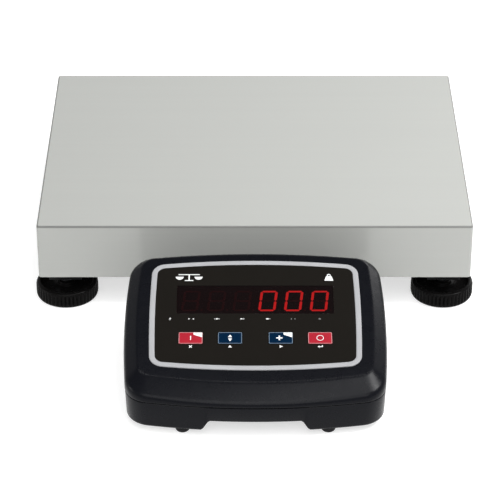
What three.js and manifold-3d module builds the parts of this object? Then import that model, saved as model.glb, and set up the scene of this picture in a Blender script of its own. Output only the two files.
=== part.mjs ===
// A bench weighing scale. A stainless weighing platform stands on four levelling feet. A separate
// weight indicator stands in front of it, joined to it only by the load cell's cable.
//
// Frame: millimetres, +X to the operator's right, +Y away from the operator, +Z up. The origin is on
// the bench, under the centre of the whole object.

import * as THREE from "three";
import { mergeVertices } from "three/addons/utils/BufferGeometryUtils.js";
import Module from "manifold-3d";

const wasm = await Module();
wasm.setup();

// ---------------------------------------------------------------------------------------------
// Driving dimensions
// ---------------------------------------------------------------------------------------------

const FIT_GAP = 0.3; // clearance between a piece and the opening it sits in

const PAN = {
  width: 400,
  depth: 300,
  top: 87,
  skirt: 55,
  sheet: 1.5,
  cornerRadius: 2.5,
  bendRadius: 2.2,
  centreY: 101.5,
};

const FOOT = {
  inset: 24, // from the pan's faces to the foot's axis
  radius: 29,
  bottom: 0.8,
  top: 15.3,
  ribs: 48,
  ribDepth: 0.9,
  rimWidth: 5,
  dishDepth: 3,
  hubRadius: 9,
  soleRadius: 22,
  soleHeight: 3,
  studRadius: 5,
  studTop: 42,
  nutAcrossFlats: 17,
  nutHeight: 5,
};

const BASE = {
  bottom: 24,
  height: 20,
  wall: 2.5,
  railWidth: 30,
  railLength: 284,
  beamWidth: 70,
  bossRadius: 11,
};

const CELL = {
  length: 130,
  width: 30,
  height: 22,
  spacer: 3,
  spacerLength: 32,
  boreRadius: 7.5,
  boreSpacing: 28,
  boltRadius: 3,
  boltHeadRadius: 5,
  boltHead: 4,
  boltDepth: 12,
  boltPlaces: [40, 58], // distances from the cell's middle
};

const SPIDER = {
  thickness: 8,
  plateLength: 150,
  plateWidth: 70,
  armWidth: 26,
  reachX: 170,
  reachY: 110,
  bumperRadius: 8,
  stopRadius: 4,
  stopGap: 0.8,
  stopNutAcrossFlats: 13,
  stopNutHeight: 5,
};

const LEVEL = { x: -120, cupRadius: 11, cupHeight: 9, vialRadius: 8, vialHeight: 6.5, floor: 2 };

const CASE = {
  frontY: -256.5, // front of the indicator in the object's frame
  seam: 32,
  seamGap: 0.8,
  seamChamfer: 0.6,
  pillarJoint: 37.7, // where the two shells' screw pillars meet
  wall: 2.5,
  ridgeHeight: 47,
  tilt: THREE.MathUtils.degToRad(14),
  shoulderDrop: 7.5, // from the panel's plane down to the top of the side walls
  skidBottom: 6,
  channelTop: 16,
  channelHalfWidth: 39,
  channelFlank: 8,
  footRadius: 6.3,
  footX: 62.8,
  footFrontY: 14.5,
  footBackY: 151,
  screwX: 88,
  screwFrontY: 30,
  screwBackY: 149,
  bossRadius: 5,
};
const SCREW = { radius: 1.75, headRadius: 3.3, head: 3, seat: 20, top: 45 };

// The lower shell's profile: offsets in from the case's outline, and rises above its underside or floor.
const TRAY = {
  outside: [{ offset: 5.2, rise: 0 }, { offset: 3.2, rise: 0.8 }, { offset: 2, rise: 3 }],
  outsideRim: 0.3,
  inside: [{ offset: 6.5, rise: 0 }, { offset: 4.8, rise: 3 }],
  insideRim: 4.3,
  lipDepth: 8,
  lipRise: 0.2, // above the seam
};

// The indicator's outline in plan, and the outline of its flat panel. y runs back from the front.
const CASE_OUTLINE = {
  halfWidth: 115,
  front: 0,
  back: 174,
  frontRadius: 520,
  sideRadius: 700,
  backRadius: 800,
  corner: 24,
};
const PANEL_OUTLINE = {
  halfWidth: 103.4,
  front: 17,
  back: 165,
  frontRadius: 530,
  sideRadius: 700,
  backRadius: 790,
  corner: 12,
};

// Everything on the panel is placed by x and by y up the slope from the panel's front edge.
const LABEL = {
  halfWidth: 92.8,
  front: 13.8,
  back: 143.7,
  frontRadius: 750,
  sideRadius: 1200,
  backRadius: 750,
  corner: 12.5,
  thickness: 0.8,
};
const WINDOW = { width: 138, height: 33.5, y: 96.4, thickness: 1.8 };
const DISPLAY = { width: 142, height: 34 };
const KEY = {
  width: 20.7,
  height: 13.1,
  corner: 1,
  y: 50.6,
  places: [-56.2, -22, 22, 56.2],
  proud: 0.4,
  travel: 0.4,
};
const KEYPAD = { width: 144, height: 26, depth: 2.2, thickness: 1 };
const BOARD = { width: 162, front: 24, back: 136, thickness: 1.6, depth: 12.3 };

const BATTERY = { width: 52, length: 97, height: 24, front: 65 };
const DOOR = { width: 60, length: 101, front: 63, thickness: 2 };
const SOCKET = { x: 65, z: 21, flangeRadius: 9, flange: 2, bodyRadius: 7, bodyLength: 14 };
const PLUG = { radius: 7.5, length: 18, bootRadius: 4.5, bootLength: 8 };
const JACK = { x: -65, width: 14, length: 13, height: 11, barrelRadius: 4, barrelLength: 8, boreRadius: 2.8 };
const CABLE = { radius: 2.5 };
const GLAND = { x: 20, radius: 5, length: 12, flangeRadius: 7, flange: 4 };

// ---------------------------------------------------------------------------------------------
// Derived places
// ---------------------------------------------------------------------------------------------

const footX = PAN.width / 2 - FOOT.inset;
const footOffsetY = PAN.depth / 2 - FOOT.inset;
const baseTop = BASE.bottom + BASE.height;
const cellBottom = baseTop + CELL.spacer;
const cellTop = cellBottom + CELL.height;
const spiderBottom = cellTop + CELL.spacer;
const spiderTop = spiderBottom + SPIDER.thickness;
const panUnderside = PAN.top - PAN.sheet;
const beamFrontY = PAN.centreY - BASE.beamWidth / 2;
const glandHeight = BASE.bottom + BASE.height / 2 - BASE.wall;
const doorMiddle = DOOR.front + DOOR.length / 2;
const doorBottom = CASE.channelTop + FIT_GAP;
const labelTop = FIT_GAP + LABEL.thickness; // above the panel's plane

const CORNERS = [
  { name: "front_left", x: -1, y: -1 },
  { name: "front_right", x: 1, y: -1 },
  { name: "rear_left", x: -1, y: 1 },
  { name: "rear_right", x: 1, y: 1 },
];

/** Height of the panel's plane above the bench at a distance y behind the indicator's front. */
function panelHeight(y) {
  return CASE.ridgeHeight + (y - PANEL_OUTLINE.front) * Math.tan(CASE.tilt);
}

// ---------------------------------------------------------------------------------------------
// Solids: three.js geometry in, joined and cut with manifold-3d
// ---------------------------------------------------------------------------------------------

function toManifold(geometry) {
  const bare = geometry.clone();
  bare.deleteAttribute("normal");
  bare.deleteAttribute("uv");
  const welded = mergeVertices(bare, 1e-4);
  const vertProperties = new Float32Array(welded.attributes.position.array);
  const triVerts = new Uint32Array(welded.index.array);
  return new wasm.Manifold(new wasm.Mesh({ numProp: 3, vertProperties, triVerts }));
}

function toGeometry(manifold) {
  const mesh = manifold.getMesh();
  const geometry = new THREE.BufferGeometry();
  geometry.setAttribute("position", new THREE.BufferAttribute(mesh.vertProperties, 3));
  geometry.setIndex(new THREE.BufferAttribute(mesh.triVerts, 1));
  geometry.computeVertexNormals();
  return geometry;
}

function join(...geometries) {
  const [first, ...rest] = geometries.map(toManifold);
  return toGeometry(rest.reduce((whole, piece) => whole.add(piece), first));
}

function cut(geometry, ...tools) {
  const solids = tools.map(toManifold);
  return toGeometry(solids.reduce((whole, tool) => whole.subtract(tool), toManifold(geometry)));
}

/** A box standing on (x, y, z), centred on x and y. */
function box(width, depth, height, x = 0, y = 0, z = 0) {
  return new THREE.BoxGeometry(width, depth, height).translate(x, y, z + height / 2);
}

/** An upright cylinder standing on (x, y, z). */
function cylinder(radius, height, x = 0, y = 0, z = 0, segments = 24) {
  const geometry = new THREE.CylinderGeometry(radius, radius, height, segments);
  return geometry.rotateX(Math.PI / 2).translate(x, y, z + height / 2);
}

/** A cylinder lying along +Y, from (x, y, z). */
function lyingCylinder(radius, length, x, y, z, segments = 24) {
  return new THREE.CylinderGeometry(radius, radius, length, segments).translate(x, y + length / 2, z);
}

/** A flat plate: a list of outline points, thickened upwards from z. */
function plate(outline, z, thickness) {
  const shape = new THREE.Shape(outline);
  return new THREE.ExtrudeGeometry(shape, { depth: thickness, bevelEnabled: false }).translate(0, 0, z);
}

/** A closed skin over rings of equal length, listed from the bottom up, each counter-clockwise. */
function loft(rings) {
  const count = rings[0].length;
  const positions = rings.flat().flatMap((point) => [point.x, point.y, point.z]);
  const triangles = [];
  for (let level = 0; level < rings.length - 1; level++) {
    for (let i = 0; i < count; i++) {
      const next = (i + 1) % count;
      const [a, b] = [level * count + i, level * count + next];
      triangles.push(a, b, b + count, a, b + count, a + count);
    }
  }
  const lastRing = (rings.length - 1) * count;
  for (let i = 1; i < count - 1; i++) {
    triangles.push(0, i + 1, i);
    triangles.push(lastRing, lastRing + i, lastRing + i + 1);
  }
  const geometry = new THREE.BufferGeometry();
  geometry.setAttribute("position", new THREE.Float32BufferAttribute(positions, 3));
  geometry.setIndex(triangles);
  geometry.computeVertexNormals();
  return geometry;
}

function lift(outline, height) {
  const heightAt = typeof height === "function" ? height : () => height;
  return outline.map((point) => new THREE.Vector3(point.x, point.y, heightAt(point.y)));
}

// ---------------------------------------------------------------------------------------------
// Outlines
// ---------------------------------------------------------------------------------------------

function arcPoints(centre, radius, from, to, segments) {
  return Array.from({ length: segments + 1 }, (_, i) => {
    const angle = THREE.MathUtils.lerp(from, to, i / segments);
    return new THREE.Vector2(centre.x + radius * Math.cos(angle), centre.y + radius * Math.sin(angle));
  });
}

function roundedRectangle(width, depth, radius, centreY = 0, segments = 4) {
  const quarter = Math.PI / 2;
  const corners = [[1, -1], [1, 1], [-1, 1], [-1, -1]];
  return corners.flatMap(([sideX, sideY], i) => {
    const centre = { x: sideX * (width / 2 - radius), y: centreY + sideY * (depth / 2 - radius) };
    return arcPoints(centre, radius, (i - 1) * quarter, i * quarter, segments);
  });
}

/** Where a corner of the given radius sits inside two arcs that it joins smoothly. */
function cornerCentre(first, second, radius) {
  const span = new THREE.Vector2().subVectors(second, first);
  const distance = span.length();
  const along = ((first.r - radius) ** 2 - (second.r - radius) ** 2 + distance ** 2) / (2 * distance);
  const across = Math.sqrt((first.r - radius) ** 2 - along ** 2);
  const unit = span.divideScalar(distance);
  const foot = new THREE.Vector2(first.x, first.y).addScaledVector(unit, along);
  const normal = new THREE.Vector2(-unit.y, unit.x);
  const candidates = [-1, 1].map((side) => foot.clone().addScaledVector(normal, side * across));
  return candidates[0].x > candidates[1].x ? candidates[0] : candidates[1];
}

/** A closed outline of four bowed sides and four rounded corners, counter-clockwise from above. */
function bowedOutline({ halfWidth, front, back, frontRadius, sideRadius, backRadius, corner }) {
  const frontArc = { x: 0, y: front + frontRadius, r: frontRadius };
  const sideArc = { x: halfWidth - sideRadius, y: (front + back) / 2, r: sideRadius };
  const backArc = { x: 0, y: back - backRadius, r: backRadius };
  const frontCorner = cornerCentre(frontArc, sideArc, corner);
  const backCorner = cornerCentre(backArc, sideArc, corner);
  const angle = (to, from) => Math.atan2(to.y - from.y, to.x - from.x);
  const turns = [
    angle(frontCorner, frontArc),
    angle(frontCorner, sideArc),
    angle(backCorner, sideArc),
    angle(backCorner, backArc),
  ];
  const right = [
    ...arcPoints(frontArc, frontRadius, -Math.PI / 2, turns[0], 4),
    ...arcPoints(frontCorner, corner, turns[0], turns[1], 6).slice(1),
    ...arcPoints(sideArc, sideRadius, turns[1], turns[2], 4).slice(1),
    ...arcPoints(backCorner, corner, turns[2], turns[3], 6).slice(1),
    ...arcPoints(backArc, backRadius, turns[3], Math.PI / 2, 4).slice(1),
  ];
  const left = right.slice(1, -1).reverse().map((point) => new THREE.Vector2(-point.x, point.y));
  return [...right, ...left];
}

/** The same outline, moved inwards everywhere by a distance. */
function inset(outline, distance) {
  return {
    halfWidth: outline.halfWidth - distance,
    front: outline.front + distance,
    back: outline.back - distance,
    frontRadius: outline.frontRadius - distance,
    sideRadius: outline.sideRadius - distance,
    backRadius: outline.backRadius - distance,
    corner: outline.corner - distance,
  };
}

// ---------------------------------------------------------------------------------------------
// Materials and nodes
// ---------------------------------------------------------------------------------------------

const FINISHES = {
  stainless: { color: 0xc6c8c3, roughness: 0.34, metalness: 1 },
  zincPlated: { color: 0xb9bcc0, roughness: 0.35, metalness: 1 },
  aluminium: { color: 0xc3c6c9, roughness: 0.4, metalness: 1 },
  paintedSteel: { color: 0x3d4245, roughness: 0.5, metalness: 0.3 },
  blackPlastic: { color: 0x121214, roughness: 0.5, metalness: 0 },
  casePlastic: { color: 0x282a2f, roughness: 0.42, metalness: 0 },
  rubber: { color: 0x17171a, roughness: 0.85, metalness: 0 },
  label: { color: 0x242220, roughness: 0.45, metalness: 0 },
  smokedRed: { color: 0x2a0d10, roughness: 0.12, metalness: 0 },
  displayBlack: { color: 0x0d0b0b, roughness: 0.4, metalness: 0 },
  redKey: { color: 0xdc2c3c, roughness: 0.4, metalness: 0 },
  blueKey: { color: 0x063660, roughness: 0.4, metalness: 0 },
  greenBoard: { color: 0x1d5a34, roughness: 0.45, metalness: 0 },
  domeFoil: { color: 0xb7babf, roughness: 0.5, metalness: 0.2 },
  batteryGrey: { color: 0x55595e, roughness: 0.5, metalness: 0 },
  greenVial: { color: 0xb7d64a, roughness: 0.08, metalness: 0 },
  cableBlack: { color: 0x1a1a1c, roughness: 0.6, metalness: 0 },
};

function node(name, geometry, finish) {
  const mesh = new THREE.Mesh(geometry, new THREE.MeshStandardMaterial(FINISHES[finish]));
  mesh.name = name;
  return mesh;
}

// ---------------------------------------------------------------------------------------------
// Platform
// ---------------------------------------------------------------------------------------------

/** The weighing pan: a folded tray, open underneath, with a rounded fold round its top. */
function makePan() {
  const outer = panSkin(0, PAN.top);
  const inner = panSkin(PAN.sheet, panUnderside);
  const opening = box(PAN.width, PAN.depth, PAN.skirt, 0, PAN.centreY, PAN.top - 2 * PAN.skirt);
  return node("pan", cut(outer, inner, opening), "stainless");
}

function panSkin(offset, top) {
  const bend = PAN.bendRadius - offset;
  const ring = (shrink, z) => {
    const width = PAN.width - 2 * (offset + shrink);
    const depth = PAN.depth - 2 * (offset + shrink);
    const radius = Math.max(PAN.cornerRadius - offset - shrink, 0.5);
    return lift(roundedRectangle(width, depth, radius, PAN.centreY), z);
  };
  const fold = [0, 1, 2, 3].map((step) => {
    const angle = (step / 3) * (Math.PI / 2);
    return ring(bend * (1 - Math.cos(angle)), top - bend * (1 - Math.sin(angle)));
  });
  return loft([ring(0, PAN.top - PAN.skirt - offset), ...fold]);
}

/** Where the spider's arm ends at a corner, under the pan. */
function armEnd(corner) {
  return [corner.x * SPIDER.reachX, PAN.centreY + corner.y * SPIDER.reachY];
}

/** The spider: a plate on the load cell's free end, with four arms out to the pan's bumpers. */
function makeUpperFrame() {
  const middle = box(SPIDER.plateLength, SPIDER.plateWidth, SPIDER.thickness, 0, PAN.centreY, spiderBottom);
  const armAngle = Math.atan2(SPIDER.reachY, SPIDER.reachX);
  const armLength = 2 * Math.hypot(SPIDER.reachX, SPIDER.reachY);
  const arms = [-armAngle, armAngle].map((angle) => {
    const arm = box(armLength, SPIDER.armWidth, SPIDER.thickness);
    return arm.rotateZ(angle).translate(0, PAN.centreY, spiderBottom);
  });
  const pads = CORNERS.map((corner) => {
    return cylinder(SPIDER.armWidth / 2, SPIDER.thickness, ...armEnd(corner), spiderBottom);
  });
  const holes = CELL.boltPlaces.map((x) => boltHole(x, spiderBottom - 1, SPIDER.thickness + 2));
  return node("upper_frame", cut(join(middle, ...arms, ...pads), ...holes), "aluminium");
}

function makeBumper(corner) {
  const bumper = cylinder(SPIDER.bumperRadius, panUnderside - spiderTop, ...armEnd(corner), spiderTop);
  return node(`pan_bumper_${corner.name}`, bumper, "rubber");
}

/** An upright screw that the arm meets before the load cell can be overloaded. */
function makeOverloadStop(corner) {
  const [x, y] = armEnd(corner);
  const height = spiderBottom - SPIDER.stopGap - baseTop;
  const nut = hexagonPlate(SPIDER.stopNutAcrossFlats, SPIDER.stopNutHeight).translate(x, y, baseTop);
  const shank = cylinder(SPIDER.stopRadius, height, x, y, baseTop);
  return node(`overload_stop_${corner.name}`, join(shank, nut), "zincPlated");
}

/** The single-point load cell: a bar with the two joined bores that let it bend as a parallelogram. */
function makeLoadCell() {
  const bar = box(CELL.length, CELL.width, CELL.height, 0, PAN.centreY, cellBottom);
  const middle = cellBottom + CELL.height / 2;
  const boreStart = PAN.centreY - CELL.width;
  const bores = [-1, 1].map((side) => {
    return lyingCylinder(CELL.boreRadius, 2 * CELL.width, (side * CELL.boreSpacing) / 2, boreStart, middle);
  });
  const slotHeight = CELL.boreRadius;
  const slot = box(CELL.boreSpacing, 2 * CELL.width, slotHeight, 0, PAN.centreY, middle - slotHeight / 2);
  const fixedHoles = CELL.boltPlaces.map((x) => boltHole(-x, cellBottom - 1, CELL.boltDepth + 2));
  const freeHoles = CELL.boltPlaces.map((x) => boltHole(x, cellTop - CELL.boltDepth - 1, CELL.boltDepth + 2));
  return node("load_cell", cut(bar, ...bores, slot, ...fixedHoles, ...freeHoles), "aluminium");
}

function boltHole(x, z, depth) {
  return cylinder(CELL.boltRadius + FIT_GAP, depth, x, PAN.centreY, z, 16);
}

function makeCellSpacer(name, side, z) {
  const middle = side * (CELL.length - CELL.spacerLength) / 2;
  const slab = box(CELL.spacerLength, CELL.width, CELL.spacer, middle, PAN.centreY, z);
  const holes = CELL.boltPlaces.map((x) => boltHole(side * x, z - 1, CELL.spacer + 2));
  return node(name, cut(slab, ...holes), "zincPlated");
}

/** Bolts up through the base into the cell's fixed end, and down through the spider into its free end. */
function makeCellBolts() {
  const intoHead = CELL.boltHead / 2;
  const seat = baseTop - BASE.wall;
  return CELL.boltPlaces.flatMap((place, i) => {
    const fixedShank = { from: seat - intoHead, to: cellBottom + CELL.boltDepth };
    const freeShank = { from: cellTop - CELL.boltDepth, to: spiderTop + intoHead };
    return [
      makeBolt(`fixed_end_bolt_${i + 1}`, -place, seat - CELL.boltHead, fixedShank),
      makeBolt(`free_end_bolt_${i + 1}`, place, spiderTop, freeShank),
    ];
  });
}

function makeBolt(name, x, headZ, shank) {
  const head = cylinder(CELL.boltHeadRadius, CELL.boltHead, x, PAN.centreY, headZ);
  const rod = cylinder(CELL.boltRadius, shank.to - shank.from, x, PAN.centreY, shank.from, 16);
  return node(name, join(head, rod), "zincPlated");
}

/** The base: two side rails and a cross beam, all pressed channels open underneath, with foot bosses. */
function makeBaseFrame() {
  const beamLength = 2 * footX;
  const rails = [-1, 1].map((side) => {
    return box(BASE.railWidth, BASE.railLength, BASE.height, side * footX, PAN.centreY, BASE.bottom);
  });
  const beam = box(beamLength, BASE.beamWidth, BASE.height, 0, PAN.centreY, BASE.bottom);
  const hollow = (outerWidth, outerDepth, x) => {
    const [width, depth] = [outerWidth - 2 * BASE.wall, outerDepth - 2 * BASE.wall];
    return box(width, depth, BASE.height, x, PAN.centreY, BASE.bottom - BASE.wall);
  };
  const hollows = [
    hollow(BASE.railWidth, BASE.railLength, -footX),
    hollow(BASE.railWidth, BASE.railLength, footX),
    hollow(beamLength, BASE.beamWidth, 0),
  ];
  const channels = cut(join(beam, ...rails), ...hollows);
  const bosses = CORNERS.map((corner) => footCylinder(corner, BASE.bossRadius, BASE.bottom, BASE.height));
  const bores = CORNERS.map((corner) => {
    return footCylinder(corner, FOOT.studRadius + FIT_GAP, BASE.bottom - 1, BASE.height + 2);
  });
  const cellHoles = CELL.boltPlaces.map((x) => boltHole(-x, baseTop - 2 * BASE.wall, 3 * BASE.wall));
  const frame = cut(join(channels, ...bosses), ...bores, ...cellHoles, ...cableOpenings());
  return node("base_frame", frame, "paintedSteel");
}

/** Holes in the beam for the gland, and for the cable to come down through. */
function cableOpenings() {
  const reach = 2 * BASE.wall;
  return [
    lyingCylinder(GLAND.radius + FIT_GAP, 2 * reach, GLAND.x, beamFrontY - reach, glandHeight),
    cylinder(CABLE.radius + 1, 2 * reach, GLAND.x, PAN.centreY, baseTop - reach, 16),
  ];
}

function footCylinder(corner, radius, z, height, segments = 24) {
  return cylinder(radius, height, corner.x * footX, PAN.centreY + corner.y * footOffsetY, z, segments);
}

/** A hexagonal plate on z = 0, measured across its flats. */
function hexagonPlate(acrossFlats, thickness) {
  const radius = acrossFlats / Math.sqrt(3);
  const points = arcPoints({ x: 0, y: 0 }, radius, 0, (5 / 3) * Math.PI, 5);
  return plate(points, 0, thickness);
}

/** One levelling foot: a ribbed knob with a threaded stud, a rubber sole under it and a lock nut. */
function makeFoot(corner) {
  const [x, y] = [corner.x * footX, PAN.centreY + corner.y * footOffsetY];
  const sole = footCylinder(corner, FOOT.soleRadius, 0, FOOT.soleHeight, 40);
  const nutBottom = BASE.bottom - FOOT.nutHeight;
  const nutBody = hexagonPlate(FOOT.nutAcrossFlats, FOOT.nutHeight).translate(x, y, nutBottom);
  const nutBore = footCylinder(corner, FOOT.studRadius + FIT_GAP, nutBottom - 1, FOOT.nutHeight + 2);
  return [
    node(`foot_knob_${corner.name}`, makeKnob().translate(x, y, 0), "blackPlastic"),
    node(`foot_sole_${corner.name}`, sole, "rubber"),
    node(`foot_lock_nut_${corner.name}`, cut(nutBody, nutBore), "zincPlated"),
  ];
}

function makeKnob() {
  const steps = 2 * FOOT.ribs;
  const outline = Array.from({ length: steps }, (_, i) => {
    const radius = i % 2 === 0 ? FOOT.radius : FOOT.radius - FOOT.ribDepth;
    const angle = (i / steps) * 2 * Math.PI;
    return new THREE.Vector2(radius * Math.cos(angle), radius * Math.sin(angle));
  });
  const skirt = plate(outline, FOOT.bottom, FOOT.top - FOOT.bottom);
  const dish = cylinder(FOOT.radius - FOOT.rimWidth, FOOT.dishDepth + 1, 0, 0, FOOT.top - FOOT.dishDepth, 40);
  const soleHeight = FOOT.soleHeight + FIT_GAP;
  const soleRecess = cylinder(FOOT.soleRadius + FIT_GAP, soleHeight + 1, 0, 0, -1, 40);
  const hub = cylinder(FOOT.hubRadius, FOOT.top - soleHeight, 0, 0, soleHeight);
  const stud = cylinder(FOOT.studRadius, FOOT.studTop - soleHeight, 0, 0, soleHeight);
  return join(cut(skirt, dish, soleRecess), hub, stud);
}

function makeLevel() {
  const floor = baseTop + LEVEL.floor;
  const cupBody = cylinder(LEVEL.cupRadius, LEVEL.cupHeight, LEVEL.x, PAN.centreY, baseTop);
  const bore = cylinder(LEVEL.vialRadius + FIT_GAP, LEVEL.cupHeight, LEVEL.x, PAN.centreY, floor);
  const vial = cylinder(LEVEL.vialRadius, LEVEL.vialHeight, LEVEL.x, PAN.centreY, floor);
  return [node("level_cup", cut(cupBody, bore), "blackPlastic"), node("level_vial", vial, "greenVial")];
}

/** The load cell's cable: down from the cell, forward through the gland and along the bench. */
function makeCable() {
  const plugEnd = CASE.frontY + connectorFaceY(SOCKET.x) + SOCKET.flange + PLUG.length + PLUG.bootLength;
  const stops = [
    [GLAND.x, PAN.centreY, cellBottom - FIT_GAP],
    [GLAND.x, PAN.centreY, baseTop - 4],
    [GLAND.x, PAN.centreY - 6, glandHeight + 3],
    [GLAND.x, PAN.centreY - 16, glandHeight],
    [GLAND.x, beamFrontY, glandHeight],
    [GLAND.x, beamFrontY - 16, glandHeight - 2],
    [GLAND.x + 8, beamFrontY - 45, CABLE.radius + 3],
    [GLAND.x + 32, 0, CABLE.radius + 0.5],
    [SOCKET.x - 2, plugEnd + 24, CABLE.radius + 6],
    [SOCKET.x, plugEnd + 1.5, SOCKET.z],
    [SOCKET.x, plugEnd - 1, SOCKET.z],
  ];
  const points = stops.map((stop) => new THREE.Vector3(...stop));
  const path = new THREE.CatmullRomCurve3(points, false, "centripetal");
  const section = new THREE.Shape(arcPoints({ x: 0, y: 0 }, CABLE.radius, 0, 1.75 * Math.PI, 7));
  return new THREE.ExtrudeGeometry(section, { steps: 48, extrudePath: path });
}

function makeGland() {
  const flangeY = beamFrontY - GLAND.flange - FIT_GAP;
  const body = lyingCylinder(GLAND.radius, GLAND.length, GLAND.x, beamFrontY - GLAND.length / 2, glandHeight);
  const flange = lyingCylinder(GLAND.flangeRadius, GLAND.flange, GLAND.x, flangeY, glandHeight);
  const boreRadius = CABLE.radius + 2 * FIT_GAP;
  const bore = lyingCylinder(boreRadius, 2 * GLAND.length, GLAND.x, beamFrontY - GLAND.length, glandHeight);
  return node("cable_gland", cut(join(body, flange), bore), "blackPlastic");
}

// ---------------------------------------------------------------------------------------------
// Indicator: its group stands at the front of the case, with y running back from there
// ---------------------------------------------------------------------------------------------

/** The upper shell: side walls, a chamfer all round and the tilted panel, with its openings. */
function makeUpperShell() {
  const outline = bowedOutline(CASE_OUTLINE);
  const shoulder = (y) => panelHeight(y) - CASE.shoulderDrop;
  const outer = loft([
    lift(bowedOutline(inset(CASE_OUTLINE, CASE.seamChamfer)), CASE.seam),
    lift(outline, CASE.seam + CASE.seamChamfer),
    lift(outline, shoulder),
    lift(bowedOutline(PANEL_OUTLINE), panelHeight),
  ]);
  const innerOutline = bowedOutline(inset(CASE_OUTLINE, CASE.wall));
  const inner = loft([
    lift(innerOutline, CASE.seam - CASE.wall),
    lift(innerOutline, (y) => Math.max(shoulder(y) - CASE.wall, CASE.seam + CASE.seamChamfer)),
    lift(bowedOutline(inset(PANEL_OUTLINE, CASE.wall)), (y) => panelHeight(y) - CASE.wall),
  ]);
  const pillars = screwPlaces().map(({ x, y }) => pillar(x, y));
  const screwHoles = screwPlaces().map(({ x, y }) => {
    return cylinder(SCREW.radius + FIT_GAP, SCREW.top + 1 - CASE.seam, x, y, CASE.seam, 12);
  });
  const shell = join(cut(outer, inner), ...pillars);
  return node("upper_shell", cut(shell, ...screwHoles, ...panelOpenings()), "casePlastic");
}

function screwPlaces() {
  return [
    { name: "front_left", x: -CASE.screwX, y: CASE.screwFrontY },
    { name: "front_right", x: CASE.screwX, y: CASE.screwFrontY },
    { name: "rear_left", x: -CASE.screwX, y: CASE.screwBackY },
    { name: "rear_right", x: CASE.screwX, y: CASE.screwBackY },
  ];
}

/** A screw pillar from the seam up into the panel's underside. */
function pillar(x, y) {
  const bottom = CASE.pillarJoint + FIT_GAP;
  return cylinder(CASE.bossRadius, panelHeight(y) - CASE.wall / 2 - bottom, x, y, bottom, 16);
}

/** The holes through the panel for the display window and for the keypad. */
function panelOpenings() {
  const reach = 2 * CASE.wall;
  const window = box(WINDOW.width + 2 * FIT_GAP, WINDOW.height + 2 * FIT_GAP, 2 * reach, 0, WINDOW.y, -reach);
  const keypad = box(KEYPAD.width, KEYPAD.height, 2 * reach, 0, KEY.y, -reach);
  return [window, keypad].map((opening) => {
    return opening.rotateX(CASE.tilt).translate(0, PANEL_OUTLINE.front, CASE.ridgeHeight);
  });
}

/** The lower shell: a tray with a raised channel under its middle and a lip inside the seam. */
function makeLowerShell() {
  const top = CASE.seam - CASE.seamGap;
  const floor = CASE.skidBottom + CASE.wall;
  const lipOffset = CASE.wall + FIT_GAP;
  const ring = (offset, z) => lift(bowedOutline(inset(CASE_OUTLINE, offset)), z);
  const profile = (steps, bottom) => steps.map(({ offset, rise }) => ring(offset, bottom + rise));
  const outer = loft([...profile(TRAY.outside, CASE.skidBottom), ring(TRAY.outsideRim, top)]);
  const lip = loft([ring(lipOffset, top - TRAY.lipDepth), ring(lipOffset, CASE.seam + TRAY.lipRise)]);
  const hollow = loft([...profile(TRAY.inside, floor), ring(TRAY.insideRim, CASE.seam + CASE.wall)]);
  const tray = cut(join(outer, lip), cut(hollow, channelPrism(CASE.wall)), channelPrism(0));
  const bosses = screwPlaces().map(({ x, y }) => {
    const bottom = CASE.skidBottom + CASE.wall / 2;
    return cylinder(CASE.bossRadius, CASE.pillarJoint - bottom, x, y, bottom, 16);
  });
  const holes = screwPlaces().flatMap(({ x, y }) => [
    cylinder(SCREW.radius + FIT_GAP, SCREW.top, x, y, CASE.skidBottom, 12),
    cylinder(SCREW.headRadius + FIT_GAP, SCREW.seat, x, y, 0, 12),
  ]);
  const shell = join(tray, ...bosses);
  return node("lower_shell", cut(shell, ...holes, doorOpening(), ...rearOpenings()), "casePlastic");
}

/** The channel under the case, running from front to back, grown outwards by a distance. */
function channelPrism(grow) {
  const rise = CASE.channelTop - CASE.skidBottom;
  const bottom = CASE.skidBottom - 1;
  const overrun = 10;
  const halfBottom = CASE.channelHalfWidth + (CASE.channelFlank * (rise + 1)) / rise + grow;
  const halfTop = CASE.channelHalfWidth + grow;
  const section = [
    new THREE.Vector2(-halfBottom, bottom),
    new THREE.Vector2(halfBottom, bottom),
    new THREE.Vector2(halfTop, CASE.channelTop + grow),
    new THREE.Vector2(-halfTop, CASE.channelTop + grow),
  ];
  const prism = plate(section, 0, CASE_OUTLINE.back + 2 * overrun);
  return prism.rotateX(Math.PI / 2).translate(0, CASE_OUTLINE.back + overrun, 0);
}

function doorOpening() {
  const [width, length] = [DOOR.width + 2 * FIT_GAP, DOOR.length + 2 * FIT_GAP];
  return box(width, length, 3 * CASE.wall, 0, doorMiddle, CASE.channelTop - CASE.wall);
}

function rearOpenings() {
  const depth = 20;
  const start = CASE_OUTLINE.back - depth / 2;
  return [
    lyingCylinder(SOCKET.bodyRadius + FIT_GAP, depth, SOCKET.x, start, SOCKET.z),
    lyingCylinder(JACK.barrelRadius + FIT_GAP, depth, JACK.x, start, SOCKET.z),
  ];
}

function makeDoor() {
  const door = box(DOOR.width, DOOR.length, DOOR.thickness, 0, doorMiddle, doorBottom);
  return node("battery_door", door, "casePlastic");
}

function makeBattery() {
  const middle = BATTERY.front + BATTERY.length / 2;
  const bottom = doorBottom + DOOR.thickness + FIT_GAP;
  const block = box(BATTERY.width, BATTERY.length, BATTERY.height, 0, middle, bottom);
  return node("battery", block, "batteryGrey");
}

/** Where a connector's flange sits, just clear of the case's back at a distance x from its middle. */
function connectorFaceY(x) {
  const { back, backRadius } = CASE_OUTLINE;
  return back - backRadius + Math.sqrt(backRadius ** 2 - x ** 2) + FIT_GAP;
}

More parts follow.
